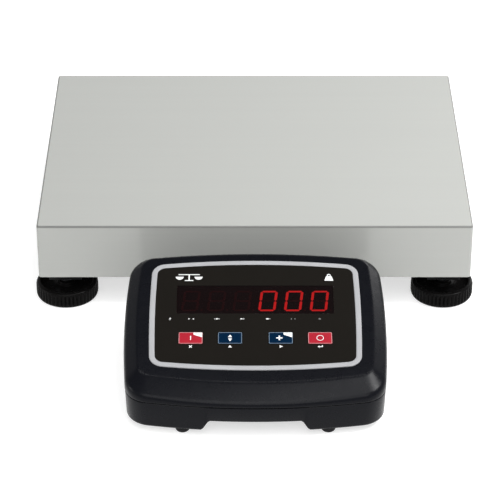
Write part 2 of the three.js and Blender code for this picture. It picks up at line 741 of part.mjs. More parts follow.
function makeSocket() {
  const faceY = connectorFaceY(SOCKET.x);
  const { bodyLength } = SOCKET;
  const body = lyingCylinder(SOCKET.bodyRadius, bodyLength, SOCKET.x, faceY + 1 - bodyLength, SOCKET.z);
  const flange = lyingCylinder(SOCKET.flangeRadius, SOCKET.flange, SOCKET.x, faceY, SOCKET.z);
  return node("cable_socket", join(body, flange), "zincPlated");
}

function makePlug() {
  const start = connectorFaceY(SOCKET.x) + SOCKET.flange;
  const end = start + PLUG.length;
  const barrel = lyingCylinder(PLUG.radius, PLUG.length, SOCKET.x, start, SOCKET.z);
  const boot = lyingCylinder(PLUG.bootRadius, PLUG.bootLength + 1, SOCKET.x, end - 1, SOCKET.z);
  const bore = lyingCylinder(CABLE.radius + 2 * FIT_GAP, 2 * PLUG.bootLength, SOCKET.x, end - 4, SOCKET.z);
  return node("cable_plug", cut(join(barrel, boot), bore), "blackPlastic");
}

function makePowerJack() {
  const { barrelLength } = JACK;
  const barrelY = connectorFaceY(JACK.x) - barrelLength;
  const bodyY = barrelY - JACK.length / 2 + 1;
  const body = box(JACK.width, JACK.length, JACK.height, JACK.x, bodyY, SOCKET.z - JACK.height / 2);
  const barrel = lyingCylinder(JACK.barrelRadius, barrelLength, JACK.x, barrelY, SOCKET.z);
  const bore = lyingCylinder(JACK.boreRadius, barrelLength, JACK.x, barrelY + 2, SOCKET.z, 16);
  return node("power_jack", cut(join(body, barrel), bore), "blackPlastic");
}

function makeCaseFoot(name, x, y) {
  const foot = cylinder(CASE.footRadius, CASE.skidBottom, x, y, 0, 20);
  return node(`case_foot_${name}`, foot, "rubber");
}

function makeCaseScrew({ name, x, y }) {
  const headTop = SCREW.seat - FIT_GAP;
  const head = cylinder(SCREW.headRadius, SCREW.head, x, y, headTop - SCREW.head, 12);
  const shank = cylinder(SCREW.radius, SCREW.top - headTop + 1, x, y, headTop - 1, 12);
  return node(`case_screw_${name}`, join(head, shank), "zincPlated");
}

// ---------------------------------------------------------------------------------------------
// Panel: its group lies in the tilted panel, x across, y up the slope and z out of the panel
// ---------------------------------------------------------------------------------------------

function makeLabel() {
  const outline = bowedOutline(LABEL);
  const sheet = plate(outline, FIT_GAP, LABEL.thickness);
  const grow = 2 * FIT_GAP;
  const window = box(WINDOW.width + grow, WINDOW.height + grow, 4, 0, WINDOW.y, -1);
  const keys = KEY.places.map((x) => box(KEY.width + grow, KEY.height + grow, 4, x, KEY.y, -1));
  return node("front_label", cut(sheet, window, ...keys), "label");
}

function makeWindow() {
  const bottom = labelTop - WINDOW.thickness;
  const window = box(WINDOW.width, WINDOW.height, WINDOW.thickness, 0, WINDOW.y, bottom);
  return node("display_window", window, "smokedRed");
}

/** The digits' module, which stands on the board and ends just under the panel. */
function makeDisplay() {
  const bottom = -BOARD.depth + FIT_GAP;
  const height = -CASE.wall - FIT_GAP - bottom;
  return node("led_display", box(DISPLAY.width, DISPLAY.height, height, 0, WINDOW.y, bottom), "displayBlack");
}

function makeKeys() {
  const top = labelTop + KEY.proud;
  const bottom = -KEYPAD.depth + KEY.travel + FIT_GAP;
  const finishes = ["redKey", "blueKey", "blueKey", "redKey"];
  return KEY.places.map((x, i) => {
    const key = plate(roundedRectangle(KEY.width, KEY.height, KEY.corner, 0, 2), bottom, top - bottom);
    return node(`key_${i + 1}`, key.translate(x, KEY.y, 0), finishes[i]);
  });
}

/** The sheet of snap domes under the keys. */
function makeDomeSheet() {
  const [width, height] = [KEYPAD.width - 1, KEYPAD.height - 1];
  const sheet = box(width, height, KEYPAD.thickness, 0, KEY.y, -KEYPAD.depth - KEYPAD.thickness);
  return node("key_dome_sheet", sheet, "domeFoil");
}

function makeBoard() {
  const middle = (BOARD.front + BOARD.back) / 2;
  const length = BOARD.back - BOARD.front;
  const board = box(BOARD.width, length, BOARD.thickness, 0, middle, -BOARD.depth - BOARD.thickness);
  return node("main_board", board, "greenBoard");
}

// ---------------------------------------------------------------------------------------------
// Assembly
// ---------------------------------------------------------------------------------------------

const scale = new THREE.Group();

scale.add(makePan(), makeUpperFrame(), makeLoadCell(), makeBaseFrame(), makeGland());
scale.add(makeCellSpacer("cell_spacer_lower", -1, baseTop), makeCellSpacer("cell_spacer_upper", 1, cellTop));
scale.add(...makeCellBolts(), ...makeLevel());
for (const corner of CORNERS) {
  scale.add(makeBumper(corner), makeOverloadStop(corner), ...makeFoot(corner));
}
scale.add(node("load_cell_cable", makeCable(), "cableBlack"));

const panel = new THREE.Group();
panel.position.set(0, PANEL_OUTLINE.front, CASE.ridgeHeight);
panel.rotation.x = CASE.tilt;
panel.add(makeLabel(), makeWindow(), makeDisplay(), ...makeKeys(), makeDomeSheet(), makeBoard());

const indicator = new THREE.Group();
indicator.position.y = CASE.frontY;
indicator.add(makeUpperShell(), makeLowerShell(), panel);
indicator.add(makeDoor(), makeBattery(), makeSocket(), makePlug(), makePowerJack());
for (const corner of CORNERS) {
  const y = corner.y < 0 ? CASE.footFrontY : CASE.footBackY;
  indicator.add(makeCaseFoot(corner.name, corner.x * CASE.footX, y));
}
indicator.add(...screwPlaces().map(makeCaseScrew));
scale.add(indicator);

export default scale;
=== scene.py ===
"""The looks of a bench weighing scale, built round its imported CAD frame.

Lengths named below are in millimetres and become metres when a mesh is made. Places come from the
CAD nodes' boxes. The indicator's pieces are built in two frames of their own: the case frame, whose
origin is on the bench at the middle of the case's front, and the panel frame, which lies in the
tilted front panel with x across, y up the slope and z out of the panel.
"""

import math

import bmesh
import bpy
from mathutils import Matrix, Vector


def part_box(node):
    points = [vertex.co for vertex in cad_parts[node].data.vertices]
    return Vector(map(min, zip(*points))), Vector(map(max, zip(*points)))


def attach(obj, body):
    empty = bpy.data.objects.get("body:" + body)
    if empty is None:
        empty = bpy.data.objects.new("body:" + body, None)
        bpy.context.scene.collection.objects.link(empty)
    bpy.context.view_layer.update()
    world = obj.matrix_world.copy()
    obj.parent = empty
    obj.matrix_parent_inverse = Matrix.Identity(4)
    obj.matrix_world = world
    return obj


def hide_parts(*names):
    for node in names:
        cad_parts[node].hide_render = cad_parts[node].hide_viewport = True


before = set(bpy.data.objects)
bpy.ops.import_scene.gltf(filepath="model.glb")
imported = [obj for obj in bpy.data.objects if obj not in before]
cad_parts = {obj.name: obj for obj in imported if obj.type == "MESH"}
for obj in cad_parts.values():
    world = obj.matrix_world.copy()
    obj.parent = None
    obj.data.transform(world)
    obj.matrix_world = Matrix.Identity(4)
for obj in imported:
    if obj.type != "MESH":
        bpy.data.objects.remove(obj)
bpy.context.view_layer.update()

MM = 0.001

# ---- Sizes ----

SHEET = 1.5
PAN_CORNER = 2.5
PAN_BEND = 2.0

SEAM = 32.0
SEAM_GAP = 0.8
WALL = 2.5
CLEARANCE = 0.3
PILLAR_RADIUS = 5.0
PILLAR_TOP = 37.7
SCREW_SEAT = 20.0
SHANK_RADIUS = 1.75
SKID_BOTTOM = 6.0
CHANNEL_TOP = 16.0
CHANNEL_HALF_WIDTH = 39.0
CHANNEL_FLANK = 8.0
RIDGE_HEIGHT = 47.0
RIDGE_Y = 17.0
TILT = math.radians(14)
SHOULDER_DROP = 7.5
SHOULDER_BEND = 4.0
RIDGE_BEND = (2.2, 1.8)  # reach of the bend down the chamfer, and across the panel
LEDGE = {"gap": 0.25, "depth": 0.5, "width": 6.0}  # the panel's recess under the label

CASE_OUTLINE = {
    "half_width": 115.0, "front": 0.0, "back": 174.0,
    "front_radius": 520.0, "side_radius": 700.0, "back_radius": 800.0, "corner": 24.0,
}
PANEL_OUTLINE = {
    "half_width": 103.4, "front": RIDGE_Y, "back": 165.0,
    "front_radius": 530.0, "side_radius": 700.0, "back_radius": 790.0, "corner": 12.0,
}
LABEL_OUTLINE = {
    "half_width": 92.8, "front": 13.8, "back": 143.7,
    "front_radius": 750.0, "side_radius": 1200.0, "back_radius": 750.0, "corner": 12.5,
}

RING_WIDTH = 4.9
FILM_TOP = 0.55  # heights above the panel's plane
RING_TOP = 0.95
WINDOW = {"width": 138.0, "height": 33.5, "y": 96.4, "corner": 1.2, "thickness": 1.6}
KEY = {"width": 20.7, "height": 13.1, "y": 50.6, "corner": 1.0}
KEY_PLACES = [-56.2, -22.0, 22.0, 56.2]

DIGIT = {
    "width": 15.2, "height": 24.4, "stroke": 2.25, "bar": 1.8, "gap": 0.25,
    "pitch": 22.7, "y": 97.7, "slant": math.radians(6.2),
}
LED_FACE = -2.7  # height of the segments, behind the window
STATUS_Y = 73.2
STATUS_PLACES = [-74.5, -56.1, -33.6, -11.3, 11.2, 33.1, 56.3]
BALANCE_PLACE = (-58.7, 123.4)
WEIGHT_PLACE = (65.6, 123.4)
REAR_HOLES = {"cable_socket": 7.0, "power_jack": 4.0}  # radii
MERGE_DISTANCE = 0.001  # between points of a plate that are one point
CAD_MERGE_DISTANCE = 0.01

WORN_SHARE = 0.9  # of the pan's shine, from the worn tops of its brushed lines
LIGHT_TARGET = Vector((0, 0.05, 0.04))  # metres
CAMERA_PLACE = (-0.0099, -1.8441, 1.1735)  # metres
CAMERA_ANGLES = [math.radians(angle) for angle in (31.764, 0.177, 0.091)]  # pitch, heading and roll
LENS = 165.3

# top and ceiling are heights, hub and recess radii
KNOB = {"top": 15.3, "rim": 4.6, "dish": 3.0, "hub": 9.0, "recess": 22.3, "ceiling": 3.3, "ribs": 48}
SOLE_GROOVE = 15.0  # radius of its middle line
CABLE_RADIUS = 2.5
AXIS = 0.05  # radius at which a turned piece's skin ends, just off its axis
CORNERS = ("front_left", "front_right", "rear_left", "rear_right")

# ---- Frames ----

case_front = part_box("upper_shell")[0][1]
case_frame = Matrix.Translation((0, case_front, 0))
ridge_place = Matrix.Translation((0, RIDGE_Y * MM, RIDGE_HEIGHT * MM))
panel_frame = case_frame @ ridge_place @ Matrix.Rotation(TILT, 4, "X")


def panel_height(y):
    """Height of the panel's plane above the bench, at a distance y behind the case's front."""
    return RIDGE_HEIGHT + (y - RIDGE_Y) * math.tan(TILT)


def channel_floor(x):
    """Height of the case's underside: two low skids with a raised channel between them."""
    into_channel = min(max((CHANNEL_HALF_WIDTH + CHANNEL_FLANK - abs(x)) / CHANNEL_FLANK, 0.0), 1.0)
    eased = into_channel ** 2 * (3 - 2 * into_channel)
    return SKID_BOTTOM + (CHANNEL_TOP - SKID_BOTTOM) * eased


# ---- Meshes ----

def place_object(name, data, place=Matrix.Identity(4)):
    """A new object in the scene."""
    holder = bpy.data.objects.new(name, data)
    holder.matrix_world = place
    bpy.context.scene.collection.objects.link(holder)
    return holder


def edit_mesh(mesh, change):
    """Runs a change on a mesh through an editable copy of it."""
    shape = bmesh.new()
    shape.from_mesh(mesh)
    change(shape)
    shape.to_mesh(mesh)
    shape.free()


def make_piece(name, vertices, faces, place=Matrix.Identity(4), sharp=30):
    """A piece from vertices in millimetres, with smooth shading up to an edge angle."""
    mesh = bpy.data.meshes.new(name)
    mesh.from_pydata([Vector(point) * MM for point in vertices], [], faces)
    edit_mesh(mesh, lambda shape: bmesh.ops.recalc_face_normals(shape, faces=shape.faces))
    mesh.polygons.foreach_set("use_smooth", [True] * len(mesh.polygons))
    mesh.set_sharp_from_angle(angle=math.radians(sharp))
    return place_object(name, mesh, place)


def loft(rings, closed=False):
    """A skin over rings of equal length, with end caps or joined end to end."""
    count = len(rings[0])
    vertices = [point for ring in rings for point in ring]
    last = len(rings) if closed else len(rings) - 1
    faces = []
    for level in range(last):
        low = level * count
        high = (level + 1) % len(rings) * count
        for i in range(count):
            following = (i + 1) % count
            faces.append((low + i, low + following, high + following, high + i))
    if not closed:
        faces.append(tuple(reversed(range(count))))
        faces.append(tuple(range(len(vertices) - count, len(vertices))))
    return vertices, faces


def turns(count):
    """Angles spread evenly round a circle."""
    return [math.tau * i / count for i in range(count)]


def round_ring(centre, reach, height, steps):
    """A level ring about a centre, at a distance that is a number or depends on the angle."""
    reach_at = reach if callable(reach) else (lambda _: reach)
    return [
        (centre[0] + reach_at(turn) * math.cos(turn), centre[1] + reach_at(turn) * math.sin(turn), height)
        for turn in turns(steps)
    ]


def lathe(profile, centre, segments=96, closed=False):
    """A solid of revolution about an upright axis, from (radius, height) points."""
    return loft([round_ring(centre, *point, segments) for point in profile], closed)


def lying_lathe(profile, middle, segments=64):
    """A solid of revolution about a line along +Y, from (radius, y) points."""
    x, _, z = middle
    rings = [[(x + r * math.cos(a), y, z + r * math.sin(a)) for a in turns(segments)] for r, y in profile]
    return loft(rings)


def cylinder(radius, low, high):
    """The profile of a plain cylinder, for turning."""
    return [(AXIS, low), (radius, low), (radius, high), (AXIS, high)]


def lift(outline, height):
    """An outline as a ring of points, at a height that is a number or depends on y."""
    height_at = height if callable(height) else (lambda _: height)
    return [(x, y, height_at(y)) for x, y in outline]


def bevel_curve(start, corner, end, steps=5):
    """Points along a smooth bend from start to end that is pulled towards a corner."""
    points = []
    for i in range(steps + 1):
        t = i / steps
        points.append(start.lerp(corner, t).lerp(corner.lerp(end, t), t))
    return points


def evaluated_mesh(piece):
    """A copy of a piece's mesh as it is after its modifiers."""
    graph = bpy.context.evaluated_depsgraph_get()
    return bpy.data.meshes.new_from_object(piece.evaluated_get(graph))


def soften(piece, width, segments=3):
    """Rounds a piece's sharp edges."""
    bevel = piece.modifiers.new("rounded edges", "BEVEL")
    bevel.width = width * MM
    bevel.segments = segments
    bevel.limit_method = "ANGLE"
    bevel.angle_limit = math.radians(35)
    bevel.harden_normals = True
    bevel.miter_outer = "MITER_ARC"


def remove(piece):
    bpy.data.objects.remove(piece, do_unlink=True)


def carve(piece, *tools):
    """Cuts solid tools out of a piece, and deletes the tools."""
    for tool in tools:
        boolean = piece.modifiers.new("cut", "BOOLEAN")
        boolean.operation = "DIFFERENCE"
        boolean.solver = "EXACT"
        boolean.object = tool
        bpy.context.view_layer.update()
        mesh = evaluated_mesh(piece)
        piece.modifiers.clear()
        piece.data = mesh
        remove(tool)
    piece.data.set_sharp_from_angle(angle=math.radians(30))


# ---- Outlines ----

def arc(centre, radius, start, end, steps):
    """Points along part of a circle, between two angles."""
    angles = [start + (end - start) * i / steps for i in range(steps + 1)]
    return [(centre[0] + radius * math.cos(a), centre[1] + radius * math.sin(a)) for a in angles]


def rounded_rectangle(width, height, radius, centre=(0.0, 0.0), steps=6):
    """Corner points of a rounded rectangle, counter-clockwise."""
    points = []
    corners = [(1, -1), (1, 1), (-1, 1), (-1, -1)]
    for i, (side_x, side_y) in enumerate(corners):
        x = centre[0] + side_x * (width / 2 - radius)
        y = centre[1] + side_y * (height / 2 - radius)
        points += arc((x, y), radius, (i - 1) * math.pi / 2, i * math.pi / 2, steps)
    return points


def inset(outline, distance):
    """A bowed outline moved inwards everywhere by a distance."""
    smaller = {key: outline[key] - distance for key in outline}
    smaller["front"] = outline["front"] + distance
    return smaller


def corner_centre(first, second, radius):
    """Where a corner's centre sits inside two arcs (x, y, r) that the corner joins smoothly."""
    between = Vector((second[0] - first[0], second[1] - first[1]))
    distance = between.length
    reach, other = first[2] - radius, second[2] - radius
    along = (reach ** 2 - other ** 2 + distance ** 2) / (2 * distance)
    across = math.sqrt(reach ** 2 - along ** 2)
    unit = between / distance
    foot = Vector(first[:2]) + unit * along
    normal = Vector((-unit.y, unit.x))
    return max((foot + normal * across, foot - normal * across), key=lambda point: point.x)


def bow(centre_y, radius, sign, ends):
    """Points of a front (sign -1) or back (sign 1) bow, between x positions."""
    return [(x, centre_y + sign * math.sqrt(radius ** 2 - x ** 2)) for x in ends]


def bow_places(limit):
    """x positions along a bow: fixed ones that keep the channel's edges, then even ones to the corner."""
    fixed = [0, 10, 20, 30, CHANNEL_HALF_WIDTH, 41, 43, 45, CHANNEL_HALF_WIDTH + CHANNEL_FLANK]
    steps = 8
    return fixed + [fixed[-1] + (limit - fixed[-1]) * i / steps for i in range(1, steps + 1)]


def bowed_outline(outline):
    """Four bowed sides with four rounded corners, counter-clockwise from above."""
    middle = (outline["front"] + outline["back"]) / 2
    corner = outline["corner"]
    front = (0.0, outline["front"] + outline["front_radius"], outline["front_radius"])
    side = (outline["half_width"] - outline["side_radius"], middle, outline["side_radius"])
    back = (0.0, outline["back"] - outline["back_radius"], outline["back_radius"])
    front_corner = corner_centre(front, side, corner)
    back_corner = corner_centre(back, side, corner)

    def angle(to, start):
        return math.atan2(to[1] - start[1], to[0] - start[0])

    ends = [
        angle(front_corner, front), angle(front_corner, side),
        angle(back_corner, side), angle(back_corner, back),
    ]
    front_end = front[2] * math.cos(ends[0])
    back_end = back[2] * math.cos(ends[3])
    right = bow(front[1], front[2], -1, bow_places(front_end))
    right += arc(front_corner, corner, ends[0], ends[1], 14)[1:]
    right += arc(side[:2], side[2], ends[1], ends[2], 14)[1:]
    right += arc(back_corner, corner, ends[2], ends[3], 14)[1:]
    right += list(reversed(bow(back[1], back[2], 1, bow_places(back_end))))[1:]
    left = [(-x, y) for x, y in reversed(right[1:-1])]
    return right + left


def inset_ring(outline, offset, height):
    """A ring a distance inside a bowed outline, at a height that is a number or depends on y."""
    return lift(bowed_outline(inset(outline, offset)), height)


# ---- Materials ----

def set_input(tree, socket, value):
    """Joins a socket to another one, or sets its value."""
    if isinstance(value, bpy.types.NodeSocket):
        tree.links.new(value, socket)
    else:
        socket.default_value = value


def add(tree, kind, inputs=None, **settings):
    """A shader node with its settings and its inputs."""
    node = tree.nodes.new(kind)
    for key, value in settings.items():
        setattr(node, key, value)
    for key, value in (inputs or {}).items():
        set_input(tree, node.inputs[key], value)
    return node


def new_material(name):
    """A material with its node tree, its surface shader and its place in the object's own frame."""
    material = bpy.data.materials.new(name)
    material.use_nodes = True
    tree = material.node_tree
    surface = tree.nodes["Principled BSDF"]
    place = add(tree, "ShaderNodeTexCoord").outputs["Object"]
    return material, tree, surface, place


def set_inputs(tree, node, **inputs):
    """Sets a node's inputs by name, with underscores for spaces."""
    for key, value in inputs.items():
        set_input(tree, node.inputs[key.replace("_", " ")], value)


def math_node(tree, operation, first, second=0.0):
    """The result of an operation on two sockets or values."""
    return add(tree, "ShaderNodeMath", {0: first, 1: second}, operation=operation).outputs[0]


def component(tree, vector, axis):
    """One axis of a vector."""
    return add(tree, "ShaderNodeSeparateXYZ", {"Vector": vector}).outputs[axis]


def speckle(tree, place, size, detail=3.0, roughness=0.5):
    """Noise from 0 to 1 whose blotches are about size millimetres across."""
    settings = {"Vector": place, "Scale": 1 / (size * MM), "Detail": detail, "Roughness": roughness}
    return add(tree, "ShaderNodeTexNoise", settings).outputs["Fac"]


def span(tree, value, low, high, source=(0.0, 1.0), easing="LINEAR"):
    """A value mapped from a source range to run from low to high, and held beyond it."""
    limits = {"From Min": source[0], "From Max": source[1], "To Min": low, "To Max": high}
    node = add(tree, "ShaderNodeMapRange", {"Value": value, **limits}, interpolation_type=easing)
    return node.outputs["Result"]


def smooth_range(tree, value, source, target):
    """A value eased from one range (low, high) to another."""
    return span(tree, value, *target, source, "SMOOTHSTEP")


def blend_values(tree, factor, first, second, data_type="FLOAT"):
    """A mix of two sockets or values: numbers, vectors or colours."""
    mix = add(tree, "ShaderNodeMix", {"Factor": factor}, data_type=data_type)
    place = {"FLOAT": 2, "VECTOR": 4, "RGBA": 6}[data_type]
    set_input(tree, mix.inputs[place], first)
    set_input(tree, mix.inputs[place + 1], second)
    return mix.outputs[place // 2 - 1]


def tint(tree, factor, dark, light):
    """A colour between a dark and a light one."""
    return blend_values(tree, factor, (*dark, 1), (*light, 1), "RGBA")


def bump(tree, height, distance, strength=1.0):
    """A normal from a height pattern; distance is the pattern's depth in millimetres."""
    node = add(tree, "ShaderNodeBump", {"Height": height, "Distance": distance * MM, "Strength": strength})
    return node.outputs["Normal"]


def shade(colour, factor):
    """A colour made darker or lighter."""
    return tuple(channel * factor for channel in colour)


def moulded_plastic(name, colour, roughness, grain=0.35, depth=0.02, specular=0.3, sheen=0.0):
    """Moulded plastic: slow colour drift, handling marks in the gloss and a fine eroded texture."""
    material, tree, surface, place = new_material(name)
    drift = speckle(tree, place, 45)
    marks = speckle(tree, place, 9, detail=6)
    grain_pattern = speckle(tree, place, grain, detail=2)
    set_inputs(
        tree, surface,
        Base_Color=tint(tree, drift, shade(colour, 0.9), shade(colour, 1.12)),
        Roughness=span(tree, marks, roughness - 0.06, roughness + 0.08),
        Specular_IOR_Level=specular,
        Normal=bump(tree, grain_pattern, depth),
        Sheen_Weight=sheen,
    )
    return material


def brushed_lines(tree, place, size, stretch):
    """Noise drawn out along an axis: stretch is how much slower it changes along x, y and z."""
    drawn = add(tree, "ShaderNodeMapping", {"Vector": place, "Scale": stretch}).outputs["Vector"]
    return speckle(tree, drawn, size, detail=5, roughness=0.7)


def fold_shade_mask(tree, normal):
    """1 on a fold between an upright and a level face, where painted shade makes the colour darker in place
    of the fold's dark reflection.
    """
    upward = component(tree, normal, "Z")
    past_side = smooth_range(tree, upward, (0.05, 0.25), (0.0, 1.0))
    past_top = smooth_range(tree, upward, (0.9, 0.99), (1.0, 0.0))
    return math_node(tree, "MULTIPLY", past_side, past_top)


def brushed_sheet(name, colour):
    """Stainless sheet brushed along X, folded down at its ends so that the lines run down there.

    Brushing spreads a reflection across its lines and leaves it sharp along them. A second, rougher
    reflection stands for the worn tops of the lines.
    """
    material, tree, surface, place = new_material(name)
    normal = add(tree, "ShaderNodeNewGeometry").outputs["Normal"]
    sideways = math_node(tree, "ABSOLUTE", component(tree, normal, "X"))
    on_end = span(tree, sideways, 0.0, 1.0, (0.6, 0.8))
    lines = blend_values(
        tree, on_end,
        brushed_lines(tree, place, 0.35, (0.006, 1, 1)),
        brushed_lines(tree, place, 0.35, (1, 1, 0.006)),
    )
    streaks = brushed_lines(tree, place, 7, (0.01, 1, 1))
    across = add(tree, "ShaderNodeVectorMath", {0: normal, 1: (1, 0, 0)}, operation="CROSS_PRODUCT")
    tangent = blend_values(tree, on_end, across.outputs["Vector"], (0, 1, 0), "VECTOR")
    drift = speckle(tree, place, 120)
    wear = span(tree, math_node(tree, "ADD", lines, drift), 0.0, 0.5)
    worn = add(tree, "ShaderNodeBsdfPrincipled")
    # painted shade: the colour on the folds is made darker, standing in for their dark reflection
    bent = fold_shade_mask(tree, normal)
    brushed = tint(tree, streaks, shade(colour, 0.985), shade(colour, 1.015))
    fold_shaded_colour = blend_values(tree, bent, brushed, (*shade(colour, 0.55), 1), "RGBA")
    for lobe, roughness, anisotropy in ((surface, 0.24, 0.9), (worn, 0.85, 0.4)):
        set_inputs(
            tree, lobe,
            Metallic=1.0,
            Base_Color=fold_shaded_colour,
            Roughness=span(tree, wear, roughness - 0.04, roughness + 0.06),
            Anisotropic=anisotropy,
            Tangent=tangent,
            Normal=bump(tree, lines, 0.002),
        )
    mix = add(tree, "ShaderNodeMixShader", {0: WORN_SHARE, 1: surface.outputs[0], 2: worn.outputs[0]})
    tree.links.new(mix.outputs[0], tree.nodes["Material Output"].inputs["Surface"])
    return material


def cast_metal(name, colour, roughness, grain=0.5, depth=0.01, metallic=1.0, specular=0.5):
    """Machined, plated or powder-coated metal: blotchy gloss over a fine grain."""
    material, tree, surface, place = new_material(name)
    blotches = speckle(tree, place, 14, detail=5)
    grain_pattern = speckle(tree, place, grain, detail=3)
    set_inputs(
        tree, surface,
        Metallic=metallic,
        Base_Color=tint(tree, blotches, shade(colour, 0.9), shade(colour, 1.08)),
        Roughness=span(tree, blotches, roughness - 0.07, roughness + 0.1),
        Specular_IOR_Level=specular,
        Normal=bump(tree, grain_pattern, depth),
    )
    return material


def printed_film(name, colour, roughness=0.42, specular=0.12):
    """Back-printed polyester film: an even colour under a fine satin surface."""
    return moulded_plastic(name, colour, roughness, grain=0.12, depth=0.006, specular=specular)


def glowing(name, colour, strength):
    """A lit LED segment: a bright core that falls off slightly across its face."""
    material, tree, surface, place = new_material(name)
    drift = speckle(tree, place, 3)
    set_inputs(
        tree, surface,
        Base_Color=(*shade(colour, 0.6), 1),
        Roughness=0.5,
        Emission_Color=tint(tree, drift, shade(colour, 0.9), colour),
        Emission_Strength=strength,
    )
    return material


def smoked_window(name, colour):
    """A dark red filter: light passes through tinted, and the polished front mirrors a little."""
    material, tree, surface, place = new_material(name)
    scuffs = speckle(tree, place, 12, detail=6)
    clear = add(tree, "ShaderNodeBsdfTransparent", {"Color": (*colour, 1)})
    haze = add(tree, "ShaderNodeBsdfDiffuse", {"Color": (0.4, 0.28, 0.3, 1)})
    hazy = add(tree, "ShaderNodeMixShader", {0: 0.009, 1: clear.outputs[0], 2: haze.outputs[0]})
    gloss = add(tree, "ShaderNodeBsdfGlossy", {"Roughness": span(tree, scuffs, 0.1, 0.22)})
    facing = add(tree, "ShaderNodeFresnel", {"IOR": 1.1})
    mix = add(tree, "ShaderNodeMixShader", {0: facing.outputs[0], 1: hazy.outputs[0], 2: gloss.outputs[0]})
    tree.links.new(mix.outputs[0], tree.nodes["Material Output"].inputs["Surface"])
    tree.nodes.remove(surface)
    return material


def level_liquid(name, colour):
    """Tinted liquid behind clear glass."""
    material, tree, surface, place = new_material(name)
    set_inputs(
        tree, surface,
        Base_Color=tint(tree, speckle(tree, place, 5), shade(colour, 0.85), colour),
        Roughness=span(tree, speckle(tree, place, 2), 0.03, 0.1),
        Transmission_Weight=0.4,
        Coat_Weight=1.0,
    )
    return material


def circuit_board(name):
    """Green solder mask over a grid of copper tracks."""
    material, tree, surface, place = new_material(name)
    tracks = add(tree, "ShaderNodeTexBrick", {
        "Vector": place, "Scale": 120.0, "Mortar Size": 0.03, "Mortar": (0.03, 0.2, 0.08, 1),
        "Color1": (0.01, 0.09, 0.035, 1), "Color2": (0.012, 0.11, 0.045, 1),
    })
    set_inputs(
        tree, surface,
        Base_Color=tracks.outputs["Color"],
        Roughness=span(tree, speckle(tree, place, 4), 0.28, 0.4),
        Normal=bump(tree, tracks.outputs["Fac"], -0.03),
    )
    return material


stainless = brushed_sheet("stainless", (0.492, 0.498, 0.482))
zinc = cast_metal("zinc plate", (0.62, 0.64, 0.66), 0.34, depth=0.004)
blackened_steel = cast_metal("blackened steel", (0.03, 0.03, 0.032), 0.4, depth=0.004)
aluminium = cast_metal("milled aluminium", (0.68, 0.69, 0.71), 0.38, depth=0.006)
powder_coat = cast_metal(
    "powder coat", (0.006, 0.006, 0.0065), 0.5, grain=0.7, depth=0.03, metallic=0.0, specular=0.15)
case_plastic = moulded_plastic(
    "case plastic", (0.0018, 0.0021, 0.0038), 0.27, grain=0.4, depth=0.005, specular=0.11)
black_plastic = moulded_plastic("black plastic", (0.008, 0.008, 0.009), 0.45, specular=0.25)
knob_plastic = moulded_plastic(
    "knob plastic", (0.0028, 0.0026, 0.0026), 0.26, grain=0.5, depth=0.005, specular=0.05)
rubber = moulded_plastic(
    "rubber", (0.008, 0.008, 0.009), 0.75, grain=0.6, depth=0.03, specular=0.15, sheen=0.05)
cable_sheath = moulded_plastic("cable sheath", (0.01, 0.01, 0.011), 0.55, grain=0.8, depth=0.01, specular=0.2)
label_film = printed_film("label film", (0.0065, 0.0055, 0.0044), specular=0.04)
silver_print = printed_film("silver print", (0.295, 0.297, 0.308), roughness=0.35)
white_print = printed_film("white print", (0.68, 0.69, 0.69))
grey_print = printed_film("grey print", (0.2, 0.21, 0.21))
red_film = printed_film("red film", (0.29, 0.009, 0.02))
red_border = printed_film("red key border", (0.45, 0.2, 0.21))
blue_film = printed_film("blue film", (0.0002, 0.0095, 0.029), specular=0.02)
blue_border = printed_film("blue key border", (0.11, 0.16, 0.22))
window_filter = smoked_window("window filter", (0.45, 0.2, 0.21))
display_black = moulded_plastic("display black", (0.006, 0.004, 0.004), 0.5, specular=0.02)
segment_lit = glowing("lit segment", (1.0, 0.1, 0.09), 2.2)
segment_dim = moulded_plastic("dim segment", (0.1, 0.03, 0.038), 0.5, specular=0.02)
board_green = circuit_board("circuit board")
dome_film = printed_film("dome film", (0.5, 0.51, 0.53))
battery_case = moulded_plastic("battery case", (0.09, 0.1, 0.115), 0.5)
vial_liquid = level_liquid("level liquid", (0.45, 0.66, 0.06))


def paint(piece, material):
    """Gives a piece one material, on its object so that a CAD mesh stays as it is."""
    if not piece.material_slots:
        piece.data.materials.append(None)
    for slot in piece.material_slots:
        slot.link = "OBJECT"
        slot.material = material


def finish_piece(piece, material, body="base", stands_for=()):
    """Paints a piece, hangs it on its body, and hides the CAD nodes it stands for."""
    paint(piece, material)
    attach(piece, body)
    if stands_for:
        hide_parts(*stands_for)


# ---- Platform ----

def box_in_mm(node):
    """A node's low corner, high corner and middle, in millimetres."""
    low, high = ([value / MM for value in corner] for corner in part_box(node))
    return low, high, [(a + b) / 2 for a, b in zip(low, high)]


def round_node(node):
    """A round node's bottom, top, middle and radius."""
    low, high, middle = box_in_mm(node)
    return low[2], high[2], middle, (high[0] - low[0]) / 2


def make_pan():
    """The folded tray: outside skin, hem, inside skin, one closed sheet with round folds."""
    low, high, centre = box_in_mm("pan")
    width, depth = high[0] - low[0], high[1] - low[1]

    def ring(offset, height):
        radius = max(PAN_CORNER - offset, 0.6)
        return lift(rounded_rectangle(width - 2 * offset, depth - 2 * offset, radius, centre, 8), height)

    def fold(radius, sheet):
        steps = 8
        angles = [math.pi / 2 * i / steps for i in range(steps + 1)]
        top = high[2] - sheet
        return [ring(sheet + radius * (1 - math.cos(a)), top - radius * (1 - math.sin(a))) for a in angles]

    hem = 0.25
    outside = [ring(hem, low[2]), ring(0, low[2] + hem)] + fold(PAN_BEND, 0.0)
    inside = [ring(SHEET - hem, low[2]), ring(SHEET, low[2] + hem)] + fold(PAN_BEND - SHEET, SHEET)
    piece = make_piece("pan_sheet", *loft(list(reversed(inside)) + outside), sharp=40)
    finish_piece(piece, stainless, "pan", ["pan"])


